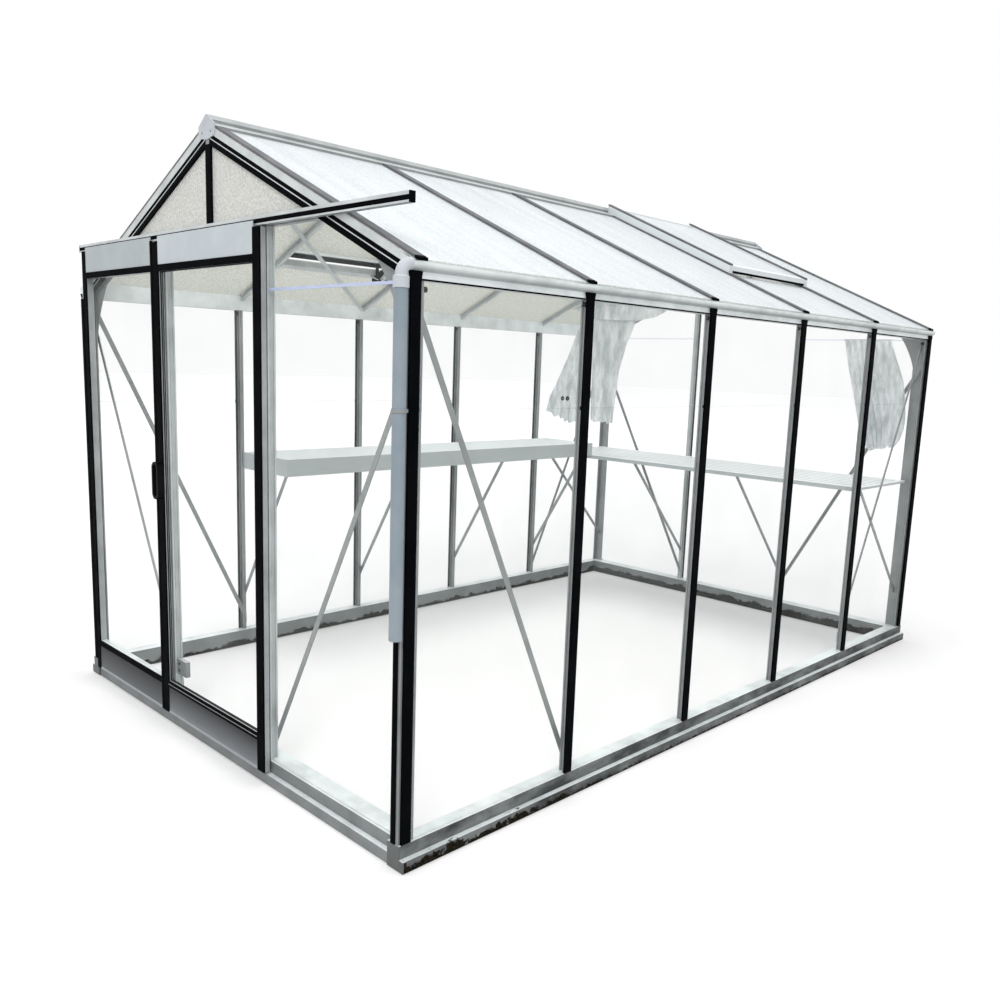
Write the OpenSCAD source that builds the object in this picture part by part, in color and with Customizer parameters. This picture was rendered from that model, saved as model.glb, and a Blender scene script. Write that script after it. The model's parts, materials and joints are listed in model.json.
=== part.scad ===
// Glass greenhouse: aluminium bars on a low sill, clear walls, obscured roof,
// a sliding door on a rail across the front gable, a tray bench and a back shelf.
// Millimetres, +Z up, front gable towards -Y, origin on the ground under the middle.

/* [Plan] */
// Distance between post axes on all four walls
bay = 735; // [680:5:790]
// Number of bays along each side wall
side_bays = 5; // [4:1:7]
// How far the side wall's outer face stands outside the post axis
wall_out = 42.5; // [38:0.5:48]
// How far the gable's outer face stands in front of the corner axis
gable_out = 2; // [0:0.5:6]

/* [Heights] */
// Height of the base sill above the ground
base_h = 80; // [60:1:120]
// Height of the side glass from the sill to the gutter beam
wall_h = 1638; // [1400:1:1900]
// Slope of the roof, in degrees
roof_pitch = 24.2; // [20:0.1:30]
// Height of the underside of the door rail above the gutter beam's underside
rail_rise = 198; // [170:1:215]

/* [Base] */
// How far the ledge of the sill stands outside the wall's face
base_lip = 20; // [12:1:30]
// Width of the sill
base_w = 76; // [72:1:76]
// Wall of the sill profile
base_wall = 4; // [3:0.5:6]

/* [Bars and glass] */
// Width of a glazing bar's flange
bar_w = 24; // [20:1:34]
// Depth of a glazing bar
bar_d = 24; // [20:1:36]
// Thickness of a glazing bar's flange
flange_t = 4; // [3:0.5:6]
// Thickness of a glazing bar's web
web_t = 6; // [4:0.5:8]
// Width of the bead along a glazing bar's inner edge
bead_w = 16; // [12:1:20]
// Thickness of the bead along a glazing bar's inner edge
bead_t = 6; // [4:0.5:8]
// Thickness of a pane
glass_t = 4; // [3:0.5:6]
// Gap from a pane's edge to the middle of its bar
pane_gap = 3; // [2:0.5:5]
// Width of a cover strip
strip_w = 36; // [30:1:44]
// Thickness of a cover strip
strip_t = 8; // [5:0.5:10]
// Length of the black end on a roof strip
strip_end = 14; // [8:1:24]
// Extra width of a cover strip's flared head
strip_flare = 5; // [2:0.5:10]

/* [Corner posts] */
// Width of a corner post's leg along the gable
corner_leg = 63; // [56:1:72]
// Thickness of each leg of a corner post
corner_t = 6; // [4:0.5:8]
// Width of the corner post's nose
nose_w = 32; // [28:1:36]
// How far the nose stands in front of the corner axis
nose_out = 25; // [22:0.5:30]
// Width of the black strip on the nose
nose_strip_w = 20; // [14:1:24]
// Thickness of the black strip on the nose
nose_strip_t = 4; // [2:0.5:6]

/* [Gutter and ridge] */
// Height of the gutter's flat band
gutter_band = 23; // [18:1:30]
// Radius of the gutter's rounded outer wall
gutter_r = 23; // [18:1:30]
// Wall of the gutter profile
gutter_wall = 3; // [2:0.5:5]
// Width of the gutter beam's seat on the wall
gutter_seat = 40; // [34:1:44]
// How far the roof strips run past the wall's glass
cap_over = 15; // [12:1:17]
// Height of the roof strip's end above the gutter beam's underside
cap_rise = 59; // [57:1:66]
// Half width of the ridge beam
ridge_half = 12; // [8:1:16]
// Half width of the ridge wings
ridge_wing = 50; // [40:1:60]
// Drop of the ridge beam below the roof bars
ridge_drop = 33; // [20:1:40]
// Thickness of the ridge end caps and gutter end plates
end_t = 4; // [3:0.5:6]
// How far the gutters pass the gables' post lines
gutter_over = 13; // [10:0.5:25]

// How far the ridge's cap stands above the roof planes
ridge_cap = 20; // [12:1:28]
// Half width of the ridge's cap
ridge_cap_half = 13; // [8:0.5:13]

/* [Gable edge] */
// Height of the plain metal face under the roof strip
fascia_h = 22; // [16:1:28]
// Height of the upper, narrow black strip
edge_strip_h = 13; // [8:1:18]
// Height of the metal line between the two black strips
edge_gap = 3.5; // [2:0.5:8]
// Height of the lower, wide black strip
edge_strip_w = 19; // [12:1:24]
// Height of the pale strips between the gables' tall and sloping panes
joint_h = 9; // [5:0.5:14]
// Reach of a corner gusset along the rafter
gusset_w = 160; // [100:5:220]
// Drop of a corner gusset along the post
gusset_h = 150; // [100:5:220]

/* [Braces] */
// Width of a flat brace or strut
brace_w = 20; // [14:1:26]
// Thickness of a flat brace or strut
brace_t = 3; // [2:0.5:4]
// Height of a brace's foot above the sill
brace_foot = 60; // [50:1:80]
// Drop of a side brace's head below the gutter beam
side_brace_drop = 34; // [32:1:80]
// Drop of a gable brace's head below the gutter beam
gable_brace_drop = 140; // [130:1:180]
// Distance along the ridge from the gable to the roof brace's head
roof_brace_start = 60; // [40:1:120]
// Height of a strut's foot above the sill
strut_foot = 190; // [160:1:260]

/* [Sliding door] */
// Overlap of the shut door past the axis of each jamb
door_lap = 24.5; // [20:0.5:30]
// Width of the door's stiles
stile_w = 44; // [36:1:54]
// Depth of the door frame
door_d = 18; // [14:1:22]
// Thickness of the strips on the door's front
door_strip_t = 6; // [4:0.5:8]
// Clear gap between the door and the gable
door_gap = 8; // [6:0.5:12]
// Height of the door's bottom above the ground
door_z = 45; // [30:1:60]
// Clear gap between the door's frame and the rail
door_top_gap = 6; // [5:0.5:10]
// Height of the kick panel, with its rail
kick_h = 135; // [100:1:200]
// Height of the header panel, from its rail to the frame's top
header_h = 108; // [80:1:140]
// Height of the door's black cross rails
cross_h = 24; // [18:1:32]
// How far the header plate rises in front of the rail
header_rise = 14; // [8:1:18]
// Thickness of the header and kick plates
plate_t = 4; // [2:0.5:4]
// Height of the lip folded out along a kick plate's lower edge
kick_lip = 8; // [5:1:14]
// Length that the rail stands out past the corner axis
rail_over = 31; // [20:1:40]
// Height of the rail
rail_h = 30; // [26:1:36]
// Depth of the rail
rail_d = 20; // [18:0.5:24]
// Wall of the rail
rail_wall = 3; // [2:0.5:3]
// Height of the black strip set into the rail's front
rail_strip_h = 14; // [8:1:16]
// Thickness of the black strip set into the rail's front
rail_strip_t = 1.5; // [1:0.5:2]
// Width of the slot along the rail's underside
slot_w = 8; // [7:0.5:9]
// Radius of a hanger wheel
wheel_r = 8; // [6:0.5:9]
// Thickness of a hanger wheel
wheel_t = 4; // [3.5:0.5:4.5]
// Thickness of a hanger plate
hanger_t = 3; // [2:0.5:4]
// Width of a hanger plate
hanger_w = 40; // [24:1:60]
// Height of the handle
handle_h = 148; // [120:1:170]
// Width of the handle
handle_w = 50; // [40:1:60]
// Depth of the handle
handle_d = 26; // [18:1:32]
// Wall of the handle's ring
handle_wall = 9; // [6:0.5:12]
// Height of the handle's middle above the ground
handle_z = 1003; // [800:1:1200]

/* [Side panel] */
// Gap between the side panel and the closed door
leaf_gap = 6; // [5:0.5:10]
// Width of the side panel's outer stile
panel_stile_w = 36; // [28:1:48]
// Width of the side panel's stile beside the door
panel_inner_w = 14; // [12:1:24]
// Gap between the side panel and the base corner
panel_gap = 5; // [3:0.5:8]

/* [Roof vents] */
// Length of a vent from the ridge, measured level
vent_len = 752; // [600:1:800]
// Height of a vent's sash
vent_h = 32; // [28:1:52]
// Width of a vent's bars
vent_bar = 28; // [22:1:34]
// Distance of the right vent's top edge from the ridge line, measured level
right_vent_start = 14; // [8:1:30]
// Distance of the left vent's top edge from the ridge line, measured level
left_vent_start = 44; // [8:1:60]
// Gap that a vent stands open above the roof at its lower edge
vent_gap = 12; // [6:1:20]
// Overlap of a vent over the pane below it
vent_lap = 10; // [6:1:16]
// Width of the cross bar below a vent
cross_bar_w = 30; // [24:1:40]
// Depth of the cross bar below a vent
cross_bar_d = 22; // [16:1:24]
// Radius of the opener's cylinder
opener_r = 16; // [12:0.5:18]
// Length of the opener's cylinder
opener_len = 240; // [180:5:280]

/* [Bench and shelf] */
// Depth of the bench from the wall posts
bench_d = 410; // [300:2:460]
// Height of the bench's floor above the ground
bench_z = 932; // [800:1:1000]
// Height of the bench tray's rim
bench_rim = 80; // [50:1:100]
// Wall of the bench tray
bench_wall = 3; // [2:0.5:5]
// Depth of the back shelf
shelf_d = 605; // [400:5:640]
// Thickness of the back shelf
shelf_t = 12; // [8:1:20]
// Height of the lip along the back shelf's front edge
shelf_lip = 22; // [16:1:34]

/* [Downpipe] */
// Outer radius of the downpipe
pipe_r = 19.5; // [18:0.5:22]
// Wall of the downpipe
pipe_wall = 1.5; // [1:0.1:3]
// Height of the downpipe's open end above the ground
pipe_end_z = 720; // [300:5:1000]
// Radius of the elbow's bend
elbow_r = 32; // [28:0.5:36]
// Wall of the elbow and its collar
elbow_wall = 2.5; // [2:0.5:4]
// Outer radius of the elbow's bend, which is narrower than its collar
outlet_r = 17; // [15:0.5:18]
// Height of the elbow's shoulder between its collar and its bend
shoulder_h = 4; // [3:0.5:10]
// Height of the elbow's collar
collar_h = 30; // [24:1:50]
// Height of the clip's middle above the ground
clip_z = 1367; // [1000:1:1500]
// Height of the clip
clip_h = 10; // [8:1:24]

/* [Curtains] */
// Space that a curtain's folds fill, front to back
curtain_d = 40; // [24:1:50]
// Height of the left curtain's hem above the bench's floor
left_hem = 216; // [120:2:400]
// Height of the right curtain's hem above the back shelf
right_hem = 145; // [60:1:400]
// Height of the left curtain's swag above the gutter beam's underside
swag_rise = 92; // [40:2:140]

/* [Hidden] */
$fn = 64;
overrun = 2;
seat_gap = 0.3;
bed_gap = 0.05;
gable_bays = 3;
half_w = gable_bays * bay / 2;
house_l = side_bays * bay;

// Levels through a side wall, from the strip's face inwards
wall_face = half_w + wall_out;
glass_x = wall_face - strip_t;
bar_x = glass_x - glass_t;
inner_x = bar_x - bar_d;

// Depths through a gable or the roof, from the strip's face inwards
glass_depth = strip_t;
bar_depth = strip_t + glass_t;
inner_depth = bar_depth + bar_d;
brace_depth = inner_depth + brace_t;
side_leg = brace_depth - bar_depth;

// Downpipe and gutter ends set how far the part reaches past its corner axes
collar_r = pipe_r + seat_gap + elbow_wall;
pipe_drop_y = gutter_over + end_t + elbow_r;
front_reach = pipe_drop_y + collar_r;
back_reach = max(gutter_over + end_t, gable_out + base_lip, nose_out + max(base_wall / 2, nose_strip_t));
front_y = (front_reach - back_reach - house_l) / 2;
back_y = front_y + house_l;
gable_y = front_y - gable_out;

// Base
base_x = wall_face + base_lip;
ledge_z = door_z - door_gap;
base_in = base_x - base_w;
nose_in = glass_x - nose_w;
nose_y = front_y - nose_out;
base_front = nose_y - base_wall / 2;
sill_front = base_front + base_wall;

// Eaves and roof planes
eave_z = base_h + wall_h;
gutter_in = glass_x - gutter_seat;
cap_end = glass_x + cap_over;
roof_rise = tan(roof_pitch);
ridge_z = eave_z + cap_rise + roof_rise * cap_end;
glass_end = glass_x + pane_gap;
strip_top = eave_z + gutter_band;
ridge_foot = roof(ridge_half, inner_depth) - ridge_drop;

// Depths down a gable's edge: metal face, narrow strip, metal line, wide strip
edge_top = bar_depth + fascia_h;
edge_line = edge_top + edge_strip_h;
edge_low = edge_line + edge_gap;
rafter_depth = edge_low + edge_strip_w;

// Doorway
jamb_x = bay / 2;
rail_z = eave_z + rail_rise;
tie_h = rail_h + web_t;
pane_split = rail_z + tie_h / 2;
door_half = jamb_x + door_lap;
door_back = gable_y - door_gap;
door_front = door_back - door_d;
strip_front = door_front - door_strip_t;
door_top = rail_z - door_top_gap;
kick_top = door_z + kick_h;
header_z = door_top - header_h;
panel_out = base_in - panel_gap;
panel_in = door_half + leaf_gap;
rail_half = half_w + rail_over;
rail_back = gable_y;
rail_front = rail_back - rail_d;
rail_mid = (rail_front + rail_back) / 2;
wheel_z = rail_z + rail_wall + seat_gap + wheel_r;
rail_strip_z = rail_z + rail_wall * 2;
hanger_share = 0.7;
joint_z = eave_z - pane_gap;
block_w = bay / 10;
block_h = base_w - bar_w / 2;

// Vents: the right one is as far from the back as the left one from the front
right_vent_bay = side_bays - 2;
left_vent_bay = 1;

// Bench and shelf
shelf_back = back_y + gable_out - brace_depth;
shelf_front = shelf_back - shelf_d;
shelf_end = inner_x - brace_t;
bench_start = front_y + bay + brace_t;

// Height of the roof at a level distance from the ridge, at a depth below the strips' faces
function roof(x, depth = 0) = ridge_z - roof_rise * x - depth / cos(roof_pitch);
// Y of a side post's axis
function post_y(i) = front_y + i * bay;

aluminium = [0.78, 0.81, 0.82];
black = [0.08, 0.09, 0.1];
grey_strip = [0.4, 0.42, 0.44];
clear = [0.85, 0.92, 0.92, 0.35];
obscured = [0.9, 0.93, 0.93, 0.6];
white = [0.93, 0.94, 0.95];
pipe_grey = [0.66, 0.72, 0.76];
pale_panel = [0.75, 0.8, 0.83];
cloth = [0.9, 0.91, 0.91, 0.8];

// Places the children on the left wall or slope as well as they lie on the right
module left_side() { mirror([1, 0, 0]) children(); }
module both_sides() { children(); left_side() children(); }
// Places the children on the back gable as they lie on the front one
module back_end() { translate([0, front_y + back_y, 0]) mirror([0, 1, 0]) children(); }
module both_ends() { children(); back_end() children(); }

// A box from its low corner to its high corner
module slab(low, high) { translate(low) cube(high - low); }

// An outline in X and Z, drawn out along Y
module along_y(y0, y1) { translate([0, y1, 0]) rotate([90, 0, 0]) linear_extrude(y1 - y0) children(); }

// An outline in Y and Z, drawn out along X
module along_x(x0, x1) {
    translate([x0, 0, 0]) rotate([90, 0, 90]) linear_extrude(x1 - x0) children();
}

// A slab on the right slope between two level distances, two depths and two Y places
module slope_slab(x0, x1, d0, d1, y0, y1) {
    along_y(y0, y1) polygon([
        [x0, roof(x0, d1)], [x1, roof(x1, d1)], [x1, roof(x1, d0)], [x0, roof(x0, d0)]
    ]);
}

// Glazing bar's section: flange at the glass, web, and bead along the inner edge
module bar_section() {
    polygon([
        [-bar_w / 2, 0], [bar_w / 2, 0], [bar_w / 2, flange_t], [web_t / 2, flange_t],
        [web_t / 2, bar_d - bead_t], [bead_w / 2, bar_d - bead_t], [bead_w / 2, bar_d],
        [-bead_w / 2, bar_d], [-bead_w / 2, bar_d - bead_t], [-web_t / 2, bar_d - bead_t],
        [-web_t / 2, flange_t], [-bar_w / 2, flange_t]
    ]);
}

// A flat brace in a wall's plane, with upright ends
module brace_outline(a0, z0, a1, z1) {
    rise = brace_w * norm([a1 - a0, z1 - z0]) / abs(a1 - a0) / 2;
    polygon([[a0, z0 - rise], [a1, z1 - rise], [a1, z1 + rise], [a0, z0 + rise]]);
}

// A flat strut from an upright face at a0 to a level face at a1 and z1
module strut_outline(a0, z0, a1, z1) {
    run = norm([a1 - a0, z1 - z0]);
    up = brace_w * run / abs(a1 - a0);
    out = brace_w * run / abs(z1 - z0) * sign(a1 - a0);
    polygon([[a0, z0], [a1, z1], [a1 - out, z1], [a0, z0 + up]]);
}

// Everything below the gable rafters and the ridge beam, as a block from y0 to y1
module under_rafters(y0, y1) {
    depth = rafter_depth + bed_gap;
    top = ridge_foot - bed_gap;
    top_x = (roof(0, depth) - top) / roof_rise;
    along_y(y0, y1) polygon([
        [-gutter_in, 0], [gutter_in, 0], [gutter_in, roof(gutter_in, depth)],
        [top_x, top], [-top_x, top], [-gutter_in, roof(gutter_in, depth)]
    ]);
}

// Sill section: open channel with a ledge, the upper part's outer face at zero
module sill_section(width) {
    foot = base_lip - base_wall;
    shelf = ledge_z - base_wall;
    polygon([
        [base_lip, 0], [foot, 0], [foot, shelf], [-base_wall, shelf],
        [-base_wall, base_h - base_wall], [base_wall - width, base_h - base_wall],
        [base_wall - width, 0], [-width, 0], [-width, base_h], [0, base_h],
        [0, ledge_z], [base_lip, ledge_z]
    ]);
}

module base_sills() {
    color(aluminium) {
        both_sides() along_y(sill_front, front_y + back_y - sill_front)
            translate([wall_face, 0]) sill_section(base_w - base_lip);
        both_ends() along_x(-base_in, base_in)
            translate([gable_y, 0]) mirror([1, 0]) sill_section(base_w);
    }
}

// Corner plates that close the side sills' ends and carry the corner posts' noses
module base_corners() {
    color(aluminium) both_ends() both_sides() along_y(base_front, sill_front)
        translate([wall_face, 0]) polygon([
            [base_lip, 0], [base_lip - base_w, 0], [base_lip - base_w, base_h],
            [0, base_h], [0, ledge_z], [base_lip, ledge_z]
        ]);
}

// Corner post: a wide leg behind the gable, a short one along the side and a nose between the strips
module corner_posts() {
    leg_y = gable_y + bar_depth;
    color(aluminium) both_ends() both_sides() translate([0, 0, base_h]) linear_extrude(wall_h)
        polygon([
            [bar_x - corner_leg, leg_y], [nose_in, leg_y], [nose_in, nose_y],
            [glass_x, nose_y], [glass_x, front_y], [bar_x, front_y],
            [bar_x, leg_y + side_leg], [bar_x - corner_t, leg_y + side_leg],
            [bar_x - corner_t, leg_y + corner_t], [bar_x - corner_leg, leg_y + corner_t]
        ]);
}

// Gusset inside each gable corner, with a hollow curve between the post and the rafter
gusset_share = 0.75;
module corner_gusset() {
    depth = rafter_depth + bed_gap;
    gusset_y = gable_y + bar_depth + corner_t;
    low = [bar_x - corner_leg, eave_z - gusset_h];
    high = [gutter_in - gusset_w, roof(gutter_in - gusset_w, depth)];
    mid = [high[0] + (low[0] - high[0]) * gusset_share, (low[1] + high[1]) / 2];
    steps = $fn / 8;
    along_y(gusset_y, gusset_y + brace_t) polygon(concat(
        [[bar_x - corner_t, low[1]], [bar_x - corner_t, eave_z], [gutter_in, eave_z]],
        [[gutter_in, roof(gutter_in, depth)]],
        [for (i = [0 : steps]) let (t = i / steps)
            high * (1 - t) * (1 - t) + mid * 2 * t * (1 - t) + low * t * t]
    ));
}
module corner_gussets() { color(aluminium) both_ends() both_sides() corner_gusset(); }

module side_wall_posts() {
    color(aluminium) both_sides() for (i = [1 : side_bays - 1])
        translate([bar_x, post_y(i), base_h]) rotate([0, 0, 90]) linear_extrude(wall_h) bar_section();
}

// Cover strip with a flared head that tucks under the gutter
module wall_strip() {
    flare_z = strip_top - gutter_band;
    along_x(glass_x, wall_face) polygon([
        [-strip_w / 2, base_h], [strip_w / 2, base_h], [strip_w / 2, flare_z],
        [strip_w / 2 + strip_flare, strip_top], [-strip_w / 2 - strip_flare, strip_top],
        [-strip_w / 2, flare_z]
    ]);
}
module side_wall_strips() {
    color(black) both_sides() for (i = [0 : side_bays]) translate([0, post_y(i), 0]) wall_strip();
}

module side_wall_glass() {
    color(clear) both_sides() for (i = [0 : side_bays - 1])
        slab([bar_x, post_y(i) + pane_gap, base_h], [glass_x, post_y(i + 1) - pane_gap, eave_z]);
}

// Outer face of a gutter beam: flat band over the glass and rounded outer wall
arc_steps = $fn / 8;
gutter_face = concat(
    [[gutter_in, eave_z], [glass_x, eave_z]],
    [for (i = [0 : arc_steps]) let (a = 90 * i / arc_steps)
        [glass_x + gutter_r * sin(a), strip_top + gutter_r * (1 - cos(a))]]
);

// Gutter beam: its outer face, the trough, and the wall that carries the roof bars
module gutter_section() {
    trough_z = strip_top + gutter_wall;
    wall_in = gutter_in + gutter_wall;
    polygon(concat(
        gutter_face,
        [for (i = [arc_steps : -1 : 0]) let (a = 90 * i / arc_steps, r = gutter_r - gutter_wall)
            [glass_x + r * sin(a), strip_top + gutter_r - r * cos(a)]],
        [[wall_in, trough_z], [wall_in, roof(wall_in, bar_depth)], [gutter_in, roof(gutter_in, bar_depth)]]
    ));
}
module gutters() {
    color(aluminium) both_sides() along_y(front_y - gutter_over, back_y + gutter_over) gutter_section();
}

// Where the elbow's mouth meets the right gutter's front end
outlet_bore = outlet_r - elbow_wall;
outlet_x = glass_x + gutter_r - outlet_r - elbow_wall;
outlet_z = strip_top + gutter_wall + outlet_bore;

module gutter_end_outline() {
    polygon(concat(gutter_face, [[gutter_in, roof(gutter_in, bar_depth)]]));
}
module gutter_end_plates() {
    plate_y = front_y - gutter_over;
    color(aluminium) {
        difference() {
            along_y(plate_y - end_t, plate_y) gutter_end_outline();
            translate([outlet_x, plate_y + overrun, outlet_z]) rotate([90, 0, 0])
                cylinder(r = outlet_bore, h = end_t + overrun * 2);
        }
        left_side() along_y(plate_y - end_t, plate_y) gutter_end_outline();
        back_end() both_sides() along_y(plate_y - end_t, plate_y) gutter_end_outline();
    }
}

// An outline that is the same on both sides of the ridge, from the points of its right half
module ridge_outline(half) {
    last = len(half) - 1;
    polygon(concat(half, [for (i = [last : -1 : 0]) [-half[i][0], half[i][1]]]));
}

// Ridge beam: web between the roof bars, wings over the glass, and a raised cap
module ridge_beam() {
    cap_side = ridge_cap / 2;
    color(aluminium) along_y(gable_y, front_y + back_y - gable_y) ridge_outline([
        [ridge_half, ridge_foot], [ridge_half, roof(ridge_half, glass_depth)],
        [ridge_wing, roof(ridge_wing, glass_depth)], [ridge_wing, roof(ridge_wing)],
        [ridge_cap_half, roof(ridge_cap_half)], [ridge_cap_half, roof(ridge_cap_half) + cap_side],
        [web_t / 2, roof(0) + ridge_cap]
    ]);
}

// Moulded caps over the ridge's ends, rounded at the foot
module ridge_end_caps() {
    flank = ridge_wing + web_t;
    foot = roof(flank, edge_top);
    color(white) both_ends() along_y(gable_y - end_t, gable_y) ridge_outline([
        [ridge_half, foot], [ridge_wing, (foot * 2 + roof(flank, bar_depth)) / 3],
        [flank, roof(flank, bar_depth)], [flank, roof(flank, -strip_t)], [web_t / 2, roof(0) + ridge_cap]
    ]);
}

module roof_bar(y) {
    bead_depth = inner_depth - bead_t;
    flange_depth = bar_depth + flange_t;
    slope_slab(ridge_half, gutter_in, bar_depth, flange_depth, y - bar_w / 2, y + bar_w / 2);
    slope_slab(ridge_half, gutter_in, flange_depth, bead_depth, y - web_t / 2, y + web_t / 2);
    slope_slab(ridge_half, gutter_in, bead_depth, inner_depth, y - bead_w / 2, y + bead_w / 2);
}
// Cross bar that carries the pane below a vent
module vent_cross_bar(i) {
    slope_slab(vent_len - vent_lap, vent_len - vent_lap + cross_bar_w, bar_depth, bar_depth + cross_bar_d,
               post_y(i) + bar_w / 2, post_y(i + 1) - bar_w / 2);
}
module roof_bars() {
    color(aluminium) {
        both_sides() for (i = [1 : side_bays - 1]) roof_bar(post_y(i));
        vent_cross_bar(right_vent_bay);
        left_side() vent_cross_bar(left_vent_bay);
    }
}

// Runs its children's strip from x0 to x1 over the roof bars and over the two gable rafters
module roof_strip_run(x0, x1) {
    both_sides() {
        for (i = [1 : side_bays - 1])
            slope_slab(x0, x1, 0, strip_t, post_y(i) - strip_w / 2, post_y(i) + strip_w / 2);
        both_ends() slope_slab(x0, x1, 0, strip_t, gable_y, gable_y + strip_w);
    }
}
// Strips on the two side bars of a vent
module vent_strips(i, start) {
    top = vent_h + strip_t;
    for (y = [post_y(i), post_y(i + 1)])
        slope_slab(start, vent_len, -top, -vent_h - bed_gap, y - vent_bar / 2, y + vent_bar / 2);
}
module roof_strips() {
    color(grey_strip) {
        roof_strip_run(ridge_wing, cap_end - strip_end);
        vent_strips(right_vent_bay, right_vent_start);
        left_side() vent_strips(left_vent_bay, left_vent_start);
    }
}
module roof_strip_ends() { color(black) roof_strip_run(cap_end - strip_end, cap_end); }

// Roof panes; the pane below a vent starts at the vent's lower edge
module roof_panes(vent_bay) {
    last = side_bays - 1;
    for (i = [0 : last])
        slope_slab(
            i == vent_bay ? vent_len - vent_lap : ridge_half, glass_end, glass_depth + bed_gap, bar_depth,
            i == 0 ? gable_y : post_y(i) + pane_gap,
            i == last ? front_y + back_y - gable_y : post_y(i + 1) - pane_gap
        );
}
module roof_glass() {
    color(obscured) {
        roof_panes(right_vent_bay);
        left_side() roof_panes(left_vent_bay);
    }
}

// Gable rafters: channels with a plain face under the roof strip and a line between the black strips
module gable_rafter() {
    face_y = gable_y + strip_t;
    flange_depth = bar_depth + flange_t;
    foot_depth = rafter_depth - flange_t;
    slope_slab(ridge_half, gutter_in, bar_depth, flange_depth, face_y, face_y + bar_w);
    slope_slab(ridge_half, gutter_in, flange_depth, foot_depth, face_y, face_y + web_t);
    slope_slab(ridge_half, gutter_in, foot_depth, rafter_depth, face_y, face_y + bar_w);
    slope_slab(ridge_half, gutter_in, bar_depth, edge_top, gable_y, face_y);
    slope_slab(ridge_half, gutter_in, edge_line, edge_low, gable_y, face_y);
}
module gable_rafters() { color(aluminium) both_ends() both_sides() gable_rafter(); }

// Upright bars of a gable, cut off under its rafters
module gable_bars(places, foot, top) {
    bar_y = gable_y + bar_depth;
    intersection() {
        for (x = places) translate([x, bar_y, foot]) linear_extrude(top - foot) bar_section();
        under_rafters(bar_y - overrun, bar_y + bar_d + overrun);
    }
}
// Flat cover over a gable's post
module gable_strip(x, foot, top) {
    intersection() {
        slab([x - strip_w / 2, gable_y, foot], [x + strip_w / 2, gable_y + strip_t, top]);
        under_rafters(gable_y - overrun, gable_y + strip_t + overrun);
    }
}
// The front posts, with plain metal covers, end at the tie behind the door rail,
// and the back ones at the rafters
module gable_posts() {
    color(aluminium) {
        gable_bars([-jamb_x, jamb_x], base_h, rail_z + tie_h);
        both_sides() gable_strip(jamb_x, base_h, rail_z);
        back_end() gable_bars([-jamb_x, jamb_x], base_h, ridge_z);
        both_ends() gable_bars([0], rail_z + tie_h, ridge_z);
    }
}

// Ties at the height of the door rail, between the jambs and on to the rafters
module tie(x0, x1) {
    tie_y = gable_y + bar_depth;
    intersection() {
        slab([x0, tie_y, rail_z], [x1, tie_y + bar_w, rail_z + tie_h]);
        under_rafters(tie_y - overrun, tie_y + bar_w + overrun);
    }
}
module gable_ties() {
    jamb_in = jamb_x - bar_w / 2;
    jamb_out = jamb_x + bar_w / 2;
    color(aluminium) {
        both_ends() tie(-jamb_in, jamb_in);
        both_sides() tie(jamb_out, half_w);
    }
}

// Black strips on a gable: on its back posts, beside its corners, and two along each rafter
module rafter_strip(d0, d1) {
    slope_slab(ridge_half, gutter_in, d0 + bed_gap, d1 - bed_gap, gable_y, gable_y + strip_t);
}
module gable_strips() {
    color(black) {
        back_end() both_sides() gable_strip(jamb_x, base_h, ridge_z);
        both_ends() {
            gable_strip(0, rail_z + rail_h, ridge_z);
            both_sides() {
                slab([nose_in - strip_w / 2, gable_y, base_h], [nose_in, gable_y + strip_t, eave_z]);
                slab([nose_in, nose_y - nose_strip_t, base_h], [nose_in + nose_strip_w, nose_y, eave_z]);
                rafter_strip(edge_top, edge_line);
                rafter_strip(edge_low, rafter_depth);
            }
        }
    }
}

// One pane of a gable from x0 to x1 and z0 to z1, cut off under the rafters
module gable_pane(x0, x1, z0, z1) {
    pane_y = gable_y + glass_depth;
    intersection() {
        slab([x0, pane_y, z0], [x1, pane_y + glass_t, z1]);
        under_rafters(pane_y - overrun, pane_y + glass_t + overrun);
    }
}
// Clear panes below the rail: the tall ones, the sloping ones over them and, at the back, the middle one
pane_x0 = jamb_x + pane_gap;
pane_x1 = gutter_in - pane_gap;
module side_panes() {
    gable_pane(pane_x0, pane_x1, base_h, joint_z - joint_h / 2);
    gable_pane(pane_x0, pane_x1, joint_z + joint_h / 2, pane_split - pane_gap);
}
module gable_glass() {
    color(clear) {
        side_panes();
        back_end() {
            both_sides() side_panes();
            gable_pane(pane_gap - jamb_x, jamb_x - pane_gap, base_h, pane_split - pane_gap);
        }
    }
}
// Obscured panes above the rail, on both sides of the king post
module gable_top_glass() {
    color(obscured) {
        both_sides() gable_pane(pane_gap, pane_x1, pane_split, ridge_z);
        back_end() both_sides() {
            gable_pane(pane_gap, jamb_x - pane_gap, pane_split, ridge_z);
            gable_pane(pane_x0, pane_x1, pane_split, ridge_z);
        }
    }
}

// Pale joint strips between the tall and the sloping panes
module pane_joint() {
    slab([jamb_x + strip_w / 2, gable_y + glass_depth - brace_t, joint_z - joint_h / 2],
         [bar_x - corner_leg, gable_y + bar_depth + brace_t, joint_z + joint_h / 2]);
}
module pane_joints() {
    color(pipe_grey) {
        pane_joint();
        back_end() both_sides() pane_joint();
    }
}

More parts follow.
